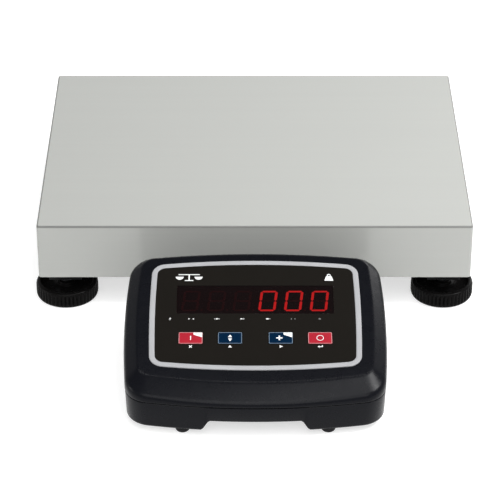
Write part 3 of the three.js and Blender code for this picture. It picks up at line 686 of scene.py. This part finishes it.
def knob_section(bottom, radius):
    """The knob's section as (distance, height, depth of the grooves), from its recess round to its hub."""
    top, hub, recess, ceiling = (KNOB[key] for key in ("top", "hub", "recess", "ceiling"))
    inner, floor = radius - KNOB["rim"], top - KNOB["dish"]
    underside = [
        (AXIS, ceiling), (recess - 0.1, ceiling), (recess, ceiling - 0.2), (recess, bottom + 0.3),
        (recess + 0.3, bottom),
    ]
    # both edges as (distance in from the radius, distance from the face, depth of the grooves)
    lower_edge = [
        (1.6, 0, 0), (1.1, 0.15, 0), (0.75, 0.6, 0), (0.35, 1.2, 0.6), (0.05, 2.2, 1.3), (0, 3.2, 1.4),
    ]
    upper_edge = [
        (0, 3.4, 1.4), (0.1, 2.6, 1.1), (0.35, 1.8, 0.5), (0.75, 1.1, 0.1), (1.3, 0.5, 0), (2.0, 0.1, 0),
        (2.7, 0, 0),
    ]
    crown = [
        (inner + 0.6, top), (inner + 0.15, top - 0.2), (inner, top - 0.7), (inner - 0.4, floor + 0.3),
        (inner - 0.8, floor), (hub + 0.8, floor), (hub + 0.2, floor + 0.3), (hub, floor + 0.9),
        (hub - 0.2, top - 0.5), (hub - 0.7, top), (AXIS, top),
    ]
    section = [(*point, 0) for point in underside]
    section += [(radius - inwards, bottom + rise, groove) for inwards, rise, groove in lower_edge]
    section += [(radius - inwards, top - fall, groove) for inwards, fall, groove in upper_edge]
    return section + [(*point, 0) for point in crown]


def make_knob(name):
    """A levelling foot's knob: rounded ribs, a dished top with a hub, and a threaded stud."""
    bottom, top, centre, radius = round_node(f"foot_knob_{name}")

    def ribbed(distance, groove):
        return lambda turn: distance - groove * (0.5 + 0.5 * math.cos(KNOB["ribs"] * turn)) ** 1.5

    rings = [
        round_ring(centre, ribbed(distance, groove), height, KNOB["ribs"] * 8)
        for distance, height, groove in knob_section(bottom, radius)
    ]
    knob = make_piece(f"levelling_knob_{name}", *loft(rings), sharp=50)
    finish_piece(knob, knob_plastic, f"foot_knob_{name}", [f"foot_knob_{name}"])
    stud = make_piece(f"levelling_stud_{name}", *threaded_rod(centre, KNOB["top"] - 0.6, top), sharp=50)
    finish_piece(stud, blackened_steel, f"foot_knob_{name}")


def threaded_rod(centre, bottom, top, radius=5.0, pitch=1.5, depth=0.85, chamfer=0.8):
    """A rod with a helical thread that narrows by the chamfer over its last millimetre."""
    levels = int((top - bottom) / pitch * 6)

    def threaded(height):
        crest = radius - (1 - min(1.0, top - height)) * chamfer
        return lambda turn: crest - depth * abs(2 * ((height / pitch - turn / math.tau) % 1.0) - 1)

    heights = [bottom + (top - bottom) * level / levels for level in range(levels + 1)]
    return loft([round_ring(centre, threaded(height), height, 32) for height in heights])


def make_sole(name):
    """The rubber sole under a knob, with a rounded edge and a shallow groove round its face."""
    _, top, centre, radius = round_node(f"foot_sole_{name}")
    groove = SOLE_GROOVE
    profile = [
        (AXIS, 0), (groove - 1.0, 0), (groove - 0.5, 0.4), (groove + 0.5, 0.4), (groove + 1.0, 0),
        (radius - 1.0, 0), (radius - 0.3, 0.3), (radius, 1.0),
        (radius, top - 0.4), (radius - 0.4, top), (AXIS, top),
    ]
    piece = make_piece(f"rubber_sole_{name}", *lathe(profile, centre), sharp=40)
    finish_piece(piece, rubber, f"foot_sole_{name}", [f"foot_sole_{name}"])


def sweep(points, radius, steps=16, samples=10):
    """A round cable along a smooth curve through points."""
    path = []
    for i in range(len(points) - 1):
        before = points[max(i - 1, 0)]
        after = points[min(i + 2, len(points) - 1)]
        for step in range(samples):
            path.append(catmull_rom(before, points[i], points[i + 1], after, step / samples))
    path.append(points[-1])
    side = Vector((0, 0, 1))
    rings = []
    for i, point in enumerate(path):
        direction = (path[min(i + 1, len(path) - 1)] - path[max(i - 1, 0)]).normalized()
        side = (side - direction * side.dot(direction)).normalized()
        other = direction.cross(side)
        spokes = [side * math.cos(a) + other * math.sin(a) for a in turns(steps)]
        rings.append([tuple(point + radius * spoke) for spoke in spokes])
    return loft(rings)


def catmull_rom(a, b, c, d, t):
    """A point on the smooth curve from b to c, on its way from a to d."""
    second = 2 * a - 5 * b + 4 * c - d
    third = 3 * b - a - 3 * c + d
    return 0.5 * (2 * b + (c - a) * t + second * t ** 2 + third * t ** 3)


def make_cable():
    """The load cell's cable, from the platform's gland along the bench to the indicator's plug."""
    gland_low, gland_high, (gland_x, _, gland_z) = box_in_mm("cable_gland")
    _, plug_high, (plug_x, _, plug_z) = box_in_mm("cable_plug")
    lying = CABLE_RADIUS + 1
    inside = Vector((gland_x, gland_high[1] + 12, gland_z))
    stops = [
        inside + Vector((0, 6, 4)),
        inside,
        Vector((gland_x, gland_low[1] - 1, gland_z)),
        Vector((gland_x + 1, gland_low[1] - 12, gland_z - 4)),
        Vector((gland_x + 8, gland_low[1] - 32, lying + 4)),
        Vector((gland_x + 24, 12, lying)),
        Vector((gland_x + 36, -12, lying)),
        Vector((plug_x - 3, plug_high[1] + 20, lying + 4)),
        Vector((plug_x, plug_high[1] + 4, plug_z - 1)),
        Vector((plug_x, plug_high[1] - 4, plug_z)),
    ]
    piece = make_piece("sensor_cable", *sweep(stops, CABLE_RADIUS), sharp=60)
    finish_piece(piece, cable_sheath, "base", ["load_cell_cable"])


def notch(before, floor, after, start):
    """A groove round a turned piece, 1.4 mm wide with sloping sides, from one radius to another."""
    return [(before, start), (floor, start + 0.4), (floor, start + 1.0), (after, start + 1.4)]


def make_plug():
    """The cable plug: a grip with grooves round it, and a ribbed strain relief."""
    low, high, middle = box_in_mm("cable_plug")
    radius = (high[0] - low[0]) / 2
    boot = high[1] - 8
    profile = [(AXIS, low[1]), (radius - 0.5, low[1]), (radius, low[1] + 0.5)]
    for groove in range(5):
        start = low[1] + 3 + groove * 2.4
        profile += notch(radius, radius - 0.6, radius, start)
    profile += [(radius, boot - 2.2), (radius - 1.4, boot - 0.4), (4.5, boot)]
    for rib in range(4):
        start = boot + 0.6 + rib * 1.8
        profile += notch(4.5, 3.6, 4.4, start)
    profile += [(3.4, high[1]), (AXIS, high[1])]
    piece = make_piece("cable_plug_grip", *lying_lathe(profile, middle), sharp=35)
    finish_piece(piece, black_plastic, "base", ["cable_plug"])


# ---- Indicator case ----

def case_ring(offset, height):
    return inset_ring(CASE_OUTLINE, offset, height)


def panel_ring(offset, drop):
    """A ring inside the panel's outline, in the panel's plane or a distance below it."""
    return inset_ring(PANEL_OUTLINE, offset, lambda y: panel_height(y) - drop)


def label_ring(offset, height):
    """A ring round the label in the case frame; height is measured out of the panel."""
    turn = Matrix.Rotation(TILT, 3, "X")
    origin = Vector((0, RIDGE_Y, RIDGE_HEIGHT))
    return [tuple(turn @ Vector(point) + origin) for point in inset_ring(LABEL_OUTLINE, offset, height)]


def bend_rings(start, corner, end, steps=5):
    """Rings that round the edge between two surfaces, point by point."""
    columns = [bevel_curve(Vector(a), Vector(b), Vector(c), steps) for a, b, c in zip(start, corner, end)]
    return [[tuple(column[i]) for column in columns] for i in range(steps + 1)]


def towards(ring, target, distance):
    """A ring moved a distance along the straight lines towards another ring."""
    return [tuple(Vector(a) + (Vector(b) - Vector(a)).normalized() * distance) for a, b in zip(ring, target)]


def make_upper_shell():
    """Side walls, a rounded shoulder, the chamfer, the ridge and the panel with a ledge for the label."""
    lip = SEAM + 0.7
    shoulder = case_ring(0, lambda y: panel_height(y) - SHOULDER_DROP)
    ridge = panel_ring(0, 0)
    wall_foot = case_ring(0, lip)
    fall = [min(SHOULDER_BEND, 0.9 * (top[2] - foot[2])) for top, foot in zip(shoulder, wall_foot)]
    below = [(x, y, z - drop) for (x, y, z), drop in zip(shoulder, fall)]
    label_edge = label_ring(-LEDGE["gap"], 0.0)
    ridge_sides = towards(ridge, shoulder, RIDGE_BEND[0]), towards(ridge, label_edge, RIDGE_BEND[1])
    rings = [
        case_ring(WALL, SEAM),
        case_ring(0.7, SEAM),
        case_ring(0.25, SEAM + 0.15),
        wall_foot,
        *bend_rings(below, shoulder, towards(shoulder, ridge, SHOULDER_BEND)),
        *bend_rings(ridge_sides[0], ridge, ridge_sides[1], 8),
        label_edge,
        label_ring(-LEDGE["gap"], -LEDGE["depth"]),
        label_ring(LEDGE["width"], -LEDGE["depth"]),
        label_ring(LEDGE["width"], -WALL),
        panel_ring(WALL, WALL),
        case_ring(WALL, lambda y: max(panel_height(y) - SHOULDER_DROP - WALL, SEAM + 0.5)),
    ]
    piece = make_piece("case_top", *loft(rings, closed=True), place=case_frame, sharp=40)
    finish_piece(piece, case_plastic, "base", ["upper_shell"])


def squeezed(ring, lowest):
    """Moves a ring of the lower shell up, so that its foot follows the channel instead of the skids."""
    top, bottom = SEAM - SEAM_GAP, SKID_BOTTOM + lowest
    points = []
    for x, y, z in ring:
        floor = channel_floor(x) + lowest
        points.append((x, y, floor + (z - bottom) * (top - floor) / (top - bottom)))
    return points


def scaled_ring(ring, factor):
    """A ring drawn in towards the middle of the case, at its own heights."""
    middle = (CASE_OUTLINE["front"] + CASE_OUTLINE["back"]) / 2
    return [(x, middle + (y - middle) * factor, z) for x, y, z in ring]


def tray_skin(foot_offset, rim_offset, lowest):
    """Rings of the lower shell's outside or inside, from the middle of its floor up to the seam."""
    floor = SKID_BOTTOM + lowest
    foot = squeezed(case_ring(foot_offset, floor), lowest)
    inward = [scaled_ring(foot, factor) for factor in (0.02, 0.5)]
    taper = rim_offset - foot_offset
    climb = [(0.30, 0.12), (0.55, 0.5), (0.72, 1.3), (0.82, 2.8)]
    walls = [squeezed(case_ring(foot_offset + taper * part, floor + rise), lowest) for part, rise in climb]
    rim = squeezed(case_ring(rim_offset, SEAM - SEAM_GAP - 0.35), lowest)
    return inward + [foot] + walls + [rim]


def make_lower_shell():
    """The tray under the case, with its raised channel, a rolled rim and a lip inside the seam."""
    outside = tray_skin(foot_offset=5.0, rim_offset=0.3, lowest=0.0)
    inside = tray_skin(foot_offset=7.5, rim_offset=4.6, lowest=WALL)
    top = SEAM - SEAM_GAP
    lip = SEAM + 0.2
    rim = [case_ring(0.65, top), case_ring(2.7, top), case_ring(2.9, lip), case_ring(4.4, lip)]
    skin = loft(outside + rim + list(reversed(inside)))
    piece = make_piece("case_bottom", *skin, place=case_frame, sharp=32)
    holes = [make_screw_pillar(name) for name in CORNERS]
    carve(piece, door_tool(), *holes, *rear_tools())
    finish_piece(piece, case_plastic, "base", ["lower_shell"])


def make_screw_pillar(name):
    """A pillar of the lower shell with a screw's counterbore in its foot; returns the tool for its hole."""
    _, _, centre, radius = round_node(f"case_screw_{name}")
    bore = radius + CLEARANCE
    foot, seat, top = SKID_BOTTOM + 0.4, SCREW_SEAT, PILLAR_TOP
    profile = [
        (bore, foot), (PILLAR_RADIUS, foot), (PILLAR_RADIUS, top - 0.4), (PILLAR_RADIUS - 0.4, top),
        (SHANK_RADIUS + CLEARANCE, top), (SHANK_RADIUS + CLEARANCE, seat), (bore, seat),
    ]
    pillar = make_piece(f"screw_pillar_{name}", *lathe(profile, centre, 48, closed=True), sharp=40)
    finish_piece(pillar, case_plastic)
    hole = cylinder(bore + 0.2, SKID_BOTTOM - 1, SKID_BOTTOM + 2 * WALL)
    return make_piece("tool", *lathe(hole, centre, 48))


def door_tool():
    """The opening for the battery door, a clearance larger than the door all round."""
    low, high, middle = box_in_mm("battery_door")
    size = [high[i] - low[i] + 2 * CLEARANCE for i in (0, 1)]
    outline = rounded_rectangle(*size, 1.0, middle)
    return make_piece("tool", *loft([lift(outline, CHANNEL_TOP - 2), lift(outline, CHANNEL_TOP + 2 * WALL)]))


def rear_tools():
    """The openings behind the cable socket and the power jack."""
    tools = []
    for node, radius in REAR_HOLES.items():
        low, high, middle = box_in_mm(node)
        hole = cylinder(radius + CLEARANCE, low[1], high[1] + 2)
        tools.append(make_piece("tool", *lying_lathe(hole, middle, 48)))
    return tools


def make_case_foot(name):
    """A small rubber foot: a disc with a rounded sole."""
    _, top, centre, radius = round_node(f"case_foot_{name}")
    profile = [
        (AXIS, 0), (radius - 2.2, 0), (radius - 1.0, 0.25), (radius - 0.35, 0.9), (radius, 1.9),
        (radius, top), (AXIS, top),
    ]
    piece = make_piece(f"rubber_foot_{name}", *lathe(profile, centre, 64), sharp=40)
    finish_piece(piece, rubber, "base", [f"case_foot_{name}"])


# ---- Front label, window and keys, in the panel frame ----

def make_ring():
    """The raised silver ring round the label."""
    section = [
        (0.1, -0.4), (0.0, 0.35), (0.15, 0.65), (0.55, 0.86), (1.6, RING_TOP), (RING_WIDTH - 1.4, RING_TOP),
        (RING_WIDTH - 0.45, 0.86), (RING_WIDTH, 0.55), (RING_WIDTH + 0.1, -0.4),
    ]
    rings = [inset_ring(LABEL_OUTLINE, *point) for point in section]
    piece = make_piece("label_ring", *loft(rings, closed=True), place=panel_frame, sharp=50)
    finish_piece(piece, silver_print)


def outline_curve(name, outlines, thickness, edge):
    """A filled flat curve from closed outlines, thickened about its plane, with rounded edges."""
    curve = bpy.data.curves.new(name, "CURVE")
    curve.dimensions = "2D"
    curve.fill_mode = "BOTH"
    for outline in outlines:
        spline = curve.splines.new("POLY")
        spline.points.add(len(outline) - 1)
        for point, (x, y) in zip(spline.points, outline):
            point.co = (x * MM, y * MM, 0, 1)
        spline.use_cyclic_u = True
    curve.extrude = (thickness / 2 - edge) * MM
    curve.bevel_depth = edge * MM
    curve.bevel_resolution = 2
    curve.offset = -edge * MM
    return curve


def filled_plate(name, outlines, low, high, edge=0.0):
    """A flat plate between two heights, from closed outlines; an outline inside another is a hole."""
    holder = place_object(name + "_curve", outline_curve(name, outlines, high - low, edge))
    mesh = evaluated_mesh(holder)
    remove(holder)
    mesh.transform(Matrix.Translation((0, 0, (low + high) / 2 * MM)))
    reach = MERGE_DISTANCE * MM
    edit_mesh(mesh, lambda shape: bmesh.ops.remove_doubles(shape, verts=shape.verts, dist=reach))
    mesh.set_sharp_from_angle(angle=math.radians(35))
    mesh.materials.clear()
    mesh.name = name
    return place_object(name, mesh, panel_frame)


def key_or_window(shape, x=0.0, grow=0.0):
    """The rounded rectangle of a key or the window, moved outwards everywhere by a distance."""
    width, height = shape["width"] + 2 * grow, shape["height"] + 2 * grow
    return rounded_rectangle(width, height, shape["corner"] + grow, (x, shape["y"]))


def make_label_film():
    """The black film inside the ring, with openings for the window and the keys."""
    edge = bowed_outline(inset(LABEL_OUTLINE, RING_WIDTH - 0.4))
    openings = [key_or_window(WINDOW, grow=0.15)] + [key_or_window(KEY, x, 0.15) for x in KEY_PLACES]
    piece = filled_plate("label_film", [edge, *openings], -0.35, FILM_TOP)
    finish_piece(piece, label_film, "base", ["front_label"])


def make_window():
    """The smoked filter over the digits."""
    low, high = FILM_TOP - WINDOW["thickness"], FILM_TOP - 0.05
    piece = filled_plate("window_lens", [key_or_window(WINDOW)], low, high, edge=0.12)
    finish_piece(piece, window_filter, "base", ["display_window"])


def make_keys():
    """The four keys, with a pale border line and a pictogram on each."""
    looks = [(red_film, red_border, "red_key"), (blue_film, blue_border, "blue_key")]
    order = [looks[0], looks[1], looks[1], looks[0]]
    for i, (x, (film, border, slot)) in enumerate(zip(KEY_PLACES, order), start=1):
        body = f"key_{i}"
        top = FILM_TOP + 0.25
        pad = filled_plate(f"key_pad_{i}", [key_or_window(KEY, x)], -1.4, top, edge=0.12)
        finish_piece(pad, film, body, [body])
        line = [key_or_window(KEY, x, -0.1), key_or_window(KEY, x, -0.6)]
        finish_piece(filled_plate(f"key_border_{i}", line, top - 0.02, top + 0.05), border, body)
        make_key_marks(i, x, body, top)


# ---- Printed marks: plain pictograms ----

def disc(x, y, radius, steps=28):
    return arc((x, y), radius, 0, math.tau * (steps - 1) / steps, steps - 1)


def bar(x, y, width, height):
    a, b = width / 2, height / 2
    return [(x - a, y - b), (x + a, y - b), (x + a, y + b), (x - a, y + b)]


def moved(outline, x, y, turn=0.0):
    """An outline turned about its origin and moved to a place."""
    c, s = math.cos(turn), math.sin(turn)
    return [(x + px * c - py * s, y + px * s + py * c) for px, py in outline]


def triangle(size):
    return [(-size / 2, -size / 3), (size / 2, -size / 3), (0, size * 0.55)]


def print_mark(name, outlines, top=FILM_TOP, body="base", material=white_print):
    """A thin printed mark that lies on a surface at a height above the panel."""
    finish_piece(filled_plate(name, outlines, top - 0.02, top + 0.04), material, body)


def make_key_marks(number, x, body, top):
    """The pictogram on each key: on, up and down, plus, and off."""
    y = KEY["y"]
    symbols = {
        1: [bar(x, y, 0.8, 4.8)],
        2: [moved(triangle(3.6), x, y + 1.9), moved(triangle(3.6), x, y - 1.9, math.pi)],
        3: [plus(x - 1.2, y, 5.4, 1.3)],
        4: [disc(x, y, 3.2), disc(x, y, 2.65)],
    }
    print_mark(f"key_symbol_{number}", symbols[number], top, body)
    if number in (1, 3):
        right = x + KEY["width"] / 2 - 0.3
        upper = y + KEY["height"] / 2 - 0.3
        flag = [(right - 7.6, upper), (right - 7.6, upper - 2.4), (right, upper - 5.6), (right, upper)]
        print_mark(f"key_flag_{number}", [flag], top + 0.03, body)
        dots = [disc(right - step, upper - 1.5, 0.5, 12) for step in (2.0, 3.7, 5.4)]
        print_mark(f"key_flag_dots_{number}", dots, top + 0.08, body, grey_print)


def plus(x, y, size, stroke):
    """A plus sign, from one arm turned to the four sides."""
    a, b = size / 2, stroke / 2
    arm = [(b, -b), (a, -b), (a, b)]
    points = [point for quarter in range(4) for point in moved(arm, 0, 0, quarter * math.pi / 2)]
    return moved(points, x, y)


def make_key_captions():
    """Small marks under the keys: a cross, two arrowheads and a bent arrow."""
    y = KEY["y"] - KEY["height"] / 2 - 3.2
    cross = moved(plus(0, 0, 3.4, 0.8), KEY_PLACES[0], y, math.pi / 4)
    up = moved(triangle(3.2), KEY_PLACES[1], y)
    right = moved(triangle(3.2), KEY_PLACES[2], y, -math.pi / 2)
    bent = [
        (-2.4, -0.3), (-0.8, 0.9), (-0.8, 0.1), (1.4, 0.1), (1.4, 1.4),
        (2.1, 1.4), (2.1, -0.7), (-0.8, -0.7), (-0.8, -1.5),
    ]
    print_mark("key_captions", [cross, up, right, moved(bent, KEY_PLACES[3], y)])


def make_status_icons():
    """The row of small status marks between the display and the keys; the last two are printed dim."""
    bolt = [(0.5, 1.9), (-1.0, -0.3), (-0.1, -0.3), (-0.6, -1.9), (1.0, 0.4), (0.1, 0.4)]
    arrows = [moved(triangle(1.7), -1.9, 0, -math.pi / 2), moved(triangle(1.7), 1.9, 0, math.pi / 2)]
    bar_and_dot = [bar(-1.8, 0, 1.4, 0.5), disc(0, 0, 0.8), bar(1.8, 0, 1.4, 0.5)]
    block = [bar(-0.8, 0, 2.0, 1.1), bar(1.2, 0, 0.5, 1.3)]
    tag = [bar(-0.6, 0, 2.2, 1.3), bar(1.4, 0, 0.6, 0.6)]
    brackets = [bar(-1.6, 0, 0.6, 1.3), bar(1.6, 0, 0.6, 1.3)]
    ring_mark = [disc(0, 0, 0.9), disc(0, 0, 0.55)]
    shapes = [[bolt], arrows, bar_and_dot, block, tag, brackets, ring_mark]
    marks = [[moved(outline, x, STATUS_Y) for outline in group] for x, group in zip(STATUS_PLACES, shapes)]
    print_mark("status_icons", sum(marks[:5], []))
    print_mark("status_icons_dim", sum(marks[5:], []), material=grey_print)


def make_corner_pictograms():
    """A plain two-pan balance at the top left of the label and a hanging weight at the top right."""
    x, y = BALANCE_PLACE
    beam = bar(x, y + 3.2, 19.0, 0.9)
    post = bar(x, y - 0.4, 1.1, 6.2)
    base = bar(x, y - 4.0, 7.6, 1.0)
    pans = [moved(arc((0, 0), 3.6, math.pi, math.tau, 14), x + side * 8.4, y + 0.6) for side in (-1, 1)]
    print_mark("balance_pictogram", [beam, base, *pans])
    print_mark("balance_post", [post])
    x, y = WEIGHT_PLACE
    body = [(-4.0, -4.2), (4.0, -4.2), (2.5, 1.2), (-2.5, 1.2)]
    print_mark("weight_pictogram", [moved(body, x, y)])
    print_mark("weight_pictogram_loop", [disc(x, y + 2.3, 1.7), disc(x, y + 2.3, 0.9)])


# ---- Display digits ----

def segment(start, end, half):
    """A pointed segment between two points, half a stroke either side of its middle line."""
    along = (Vector(end) - Vector(start)).normalized()
    across = Vector((-along.y, along.x))
    a, b = Vector(start) + along * DIGIT["gap"], Vector(end) - along * DIGIT["gap"]
    points = [
        a, a + (along - across) * half, b - (along + across) * half,
        b, b + (across - along) * half, a + (along + across) * half,
    ]
    return [tuple(point) for point in points]


def digit_segments():
    """The seven segments by letter, about the digit's middle and upright."""
    half = DIGIT["stroke"] / 2
    bar_half = DIGIT["bar"] / 2
    right = DIGIT["width"] / 2 - half
    top = DIGIT["height"] / 2 - bar_half
    ends = {
        "a": ((-right, top), (right, top)), "b": ((right, 0), (right, top)),
        "c": ((right, -top), (right, 0)), "d": ((-right, -top), (right, -top)),
        "e": ((-right, -top), (-right, 0)), "f": ((-right, 0), (-right, top)),
        "g": ((-right, 0), (right, 0)),
    }
    return {letter: segment(*pair, bar_half if letter in "adg" else half) for letter, pair in ends.items()}


def slanted(outline, x):
    """An outline of an upright digit, leaning and moved to its place in the display."""
    lean = math.tan(DIGIT["slant"])
    return [(x + px + py * lean, DIGIT["y"] + py) for px, py in outline]


def make_digits():
    """Six digits: three dark, then three zeros; every point, the one after the first zero too, is drawn dark.
    """
    lit, dark = [], []
    for place in range(6):
        x = (place - 2.5) * DIGIT["pitch"]
        glyph = "abcdef" if place >= 3 else ""
        for letter, outline in digit_segments().items():
            (lit if letter in glyph else dark).append(slanted(outline, x))
        dark.append(disc(x + DIGIT["width"] / 2 + 1.9, DIGIT["y"] - DIGIT["height"] / 2 + 1.2, 1.1, steps=16))
    for name, outlines, material in (("lit", lit, segment_lit), ("dark", dark, segment_dim)):
        piece = filled_plate(f"{name}_segments", outlines, LED_FACE - 0.3, LED_FACE)
        finish_piece(piece, material)


# ---- CAD nodes that stay ----

def smooth_by_angle():
    """A node group that shades a mesh smooth wherever its faces meet at less than its angle."""
    group = bpy.data.node_groups.new("smooth by angle", "GeometryNodeTree")
    group.interface.new_socket("Geometry", in_out="INPUT", socket_type="NodeSocketGeometry")
    group.interface.new_socket("Geometry", in_out="OUTPUT", socket_type="NodeSocketGeometry")
    start = group.nodes.new("NodeGroupInput").outputs[0]
    angle = group.nodes.new("GeometryNodeInputMeshEdgeAngle").outputs["Unsigned Angle"]
    limit = {"A": angle, "B": math.radians(32)}
    flat = add(group, "FunctionNodeCompare", limit, data_type="FLOAT", operation="LESS_THAN")
    faces = add(group, "GeometryNodeSetShadeSmooth", {"Geometry": start, "Shade Smooth": True}, domain="FACE")
    smoothing = {"Geometry": faces.outputs[0], "Shade Smooth": flat.outputs[0]}
    edges = add(group, "GeometryNodeSetShadeSmooth", smoothing, domain="EDGE")
    group.links.new(edges.outputs[0], group.nodes.new("NodeGroupOutput").inputs[0])
    return group


def at_corners(kind):
    """The nodes of one kind at the four corners."""
    return [f"{kind}_{name}" for name in CORNERS]


def dress_cad_nodes():
    """Materials, rounded edges and smooth shading for the CAD nodes that stay in view."""
    bolts = [f"{end}_end_bolt_{i}" for end in ("fixed", "free") for i in (1, 2)]
    spacers = ["cell_spacer_lower", "cell_spacer_upper"]
    looks = [
        (aluminium, 0.6, ["upper_frame"]),
        (aluminium, 0.4, ["load_cell"]),
        (powder_coat, 0.8, ["base_frame"]),
        (zinc, 0.3, [*spacers, "cable_socket", *at_corners("case_screw")]),
        (zinc, 0.4, [*bolts, *at_corners("overload_stop"), *at_corners("foot_lock_nut")]),
        (rubber, 0.6, at_corners("pan_bumper")),
        (black_plastic, 0.4, ["cable_gland", "level_cup"]),
        (black_plastic, 0.3, ["power_jack"]),
        (vial_liquid, 0.3, ["level_vial"]),
        (display_black, 0.3, ["led_display"]),
        (dome_film, 0.1, ["key_dome_sheet"]),
        (board_green, 0.1, ["main_board"]),
        (battery_case, 1.0, ["battery"]),
        (case_plastic, 0.3, ["battery_door"]),
    ]
    smoothing = smooth_by_angle()
    for material, edge, names in looks:
        for name in names:
            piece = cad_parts[name]
            paint(piece, material)
            join = piece.modifiers.new("joined corners", "WELD")
            join.merge_threshold = CAD_MERGE_DISTANCE * MM
            soften(piece, edge, segments=2)
            piece.modifiers.new("smooth by angle", "NODES").node_group = smoothing


# ---- Floor, lights and camera ----

def make_floor():
    """A wide sheet of pale paper."""
    size = 12000.0
    corners = [(-size, -size, 0), (size, -size, 0), (size, size, 0), (-size, size, 0)]
    floor = make_piece("floor", corners, [(0, 1, 2, 3)])
    material, tree, surface, place = new_material("floor paper")
    set_inputs(
        tree, surface,
        Base_Color=tint(tree, speckle(tree, place, 300), (0.5, 0.5, 0.5), (0.54, 0.54, 0.54)),
        Roughness=0.9,
        Emission_Color=(1.0, 1.0, 1.0, 1.0),
        Emission_Strength=0.62,
        Normal=bump(tree, speckle(tree, place, 1.5), 0.02),
    )
    paint(floor, material)


def make_light(name, place, width, height, power):
    """A rectangular panel in metres and watts, turned to face the scale."""
    light = bpy.data.lights.new(name, "AREA")
    light.shape = "RECTANGLE"
    light.size = width
    light.size_y = height
    light.energy = power
    holder = place_object(name, light)
    holder.location = place
    holder.rotation_euler = (LIGHT_TARGET - Vector(place)).to_track_quat("-Z", "Y").to_euler()


def make_world():
    """A pale room, bright low down all round and dimmer overhead, most of all towards the back."""
    world = bpy.data.worlds.new("studio")
    world.use_nodes = True
    tree = world.node_tree
    direction = add(tree, "ShaderNodeTexCoord").outputs["Generated"]
    forward, upward = component(tree, direction, "Y"), component(tree, direction, "Z")
    low_down = smooth_range(tree, upward, (0.5, 0.72), (1.0, 0.0))
    walls = smooth_range(tree, forward, (-0.3, 0.5), (0.8, 0.72))
    lit = math_node(tree, "MULTIPLY", low_down, walls)
    ceiling = smooth_range(tree, forward, (-0.15, 0.35), (0.5, 0.3))
    strength = math_node(tree, "MAXIMUM", lit, ceiling)
    set_inputs(tree, tree.nodes["Background"], Color=(1.0, 1.0, 0.99, 1), Strength=strength)
    bpy.context.scene.world = world


def make_studio():
    """Soft panels in front, behind and overhead, and smaller ones at the sides that catch the corners."""
    make_world()
    make_light("front panel", (0.0, -1.7, 1.7), 2.4, 1.0, 23)
    make_light("back panel", (1.4, 1.9, 1.1), 1.2, 0.9, 13)
    make_light("overhead strip", (0, 0.3, 2.2), 2.4, 0.12, 11)
    make_light("chamfer strip", (0.55, -0.8, 2.15), 2.0, 0.5, 15)
    make_light("right panel", (1.38, -0.32, 1.85), 0.65, 0.65, 31)
    make_light("left panel", (-1.8, -0.4, 0.6), 0.3, 0.2, 4)


def make_camera():
    """A long lens, looking down at the scale from in front."""
    pitch, heading, roll = CAMERA_ANGLES
    lens = bpy.data.cameras.new("camera")
    lens.sensor_width = 36.0
    lens.lens = LENS
    lens.clip_end = 50.0
    level = math.cos(pitch)
    forward = Vector((math.sin(heading) * level, math.cos(heading) * level, -math.sin(pitch)))
    right = Vector((math.cos(heading), -math.sin(heading), 0))
    turn = Matrix((right, right.cross(forward), -forward)).transposed() @ Matrix.Rotation(roll, 3, "Z")
    place = Matrix.Translation(CAMERA_PLACE) @ turn.to_4x4()
    bpy.context.scene.camera = place_object("camera", lens, place)


# ---- Assembly ----

dress_cad_nodes()
make_pan()
for corner in CORNERS:
    make_knob(corner)
    make_sole(corner)
    make_case_foot(corner)
make_cable()
make_plug()
make_upper_shell()
make_lower_shell()
make_ring()
make_label_film()
make_window()
make_keys()
make_key_captions()
make_status_icons()
make_corner_pictograms()
make_digits()
make_floor()
make_studio()
make_camera()

bpy.context.scene.view_settings.view_transform = "Standard"
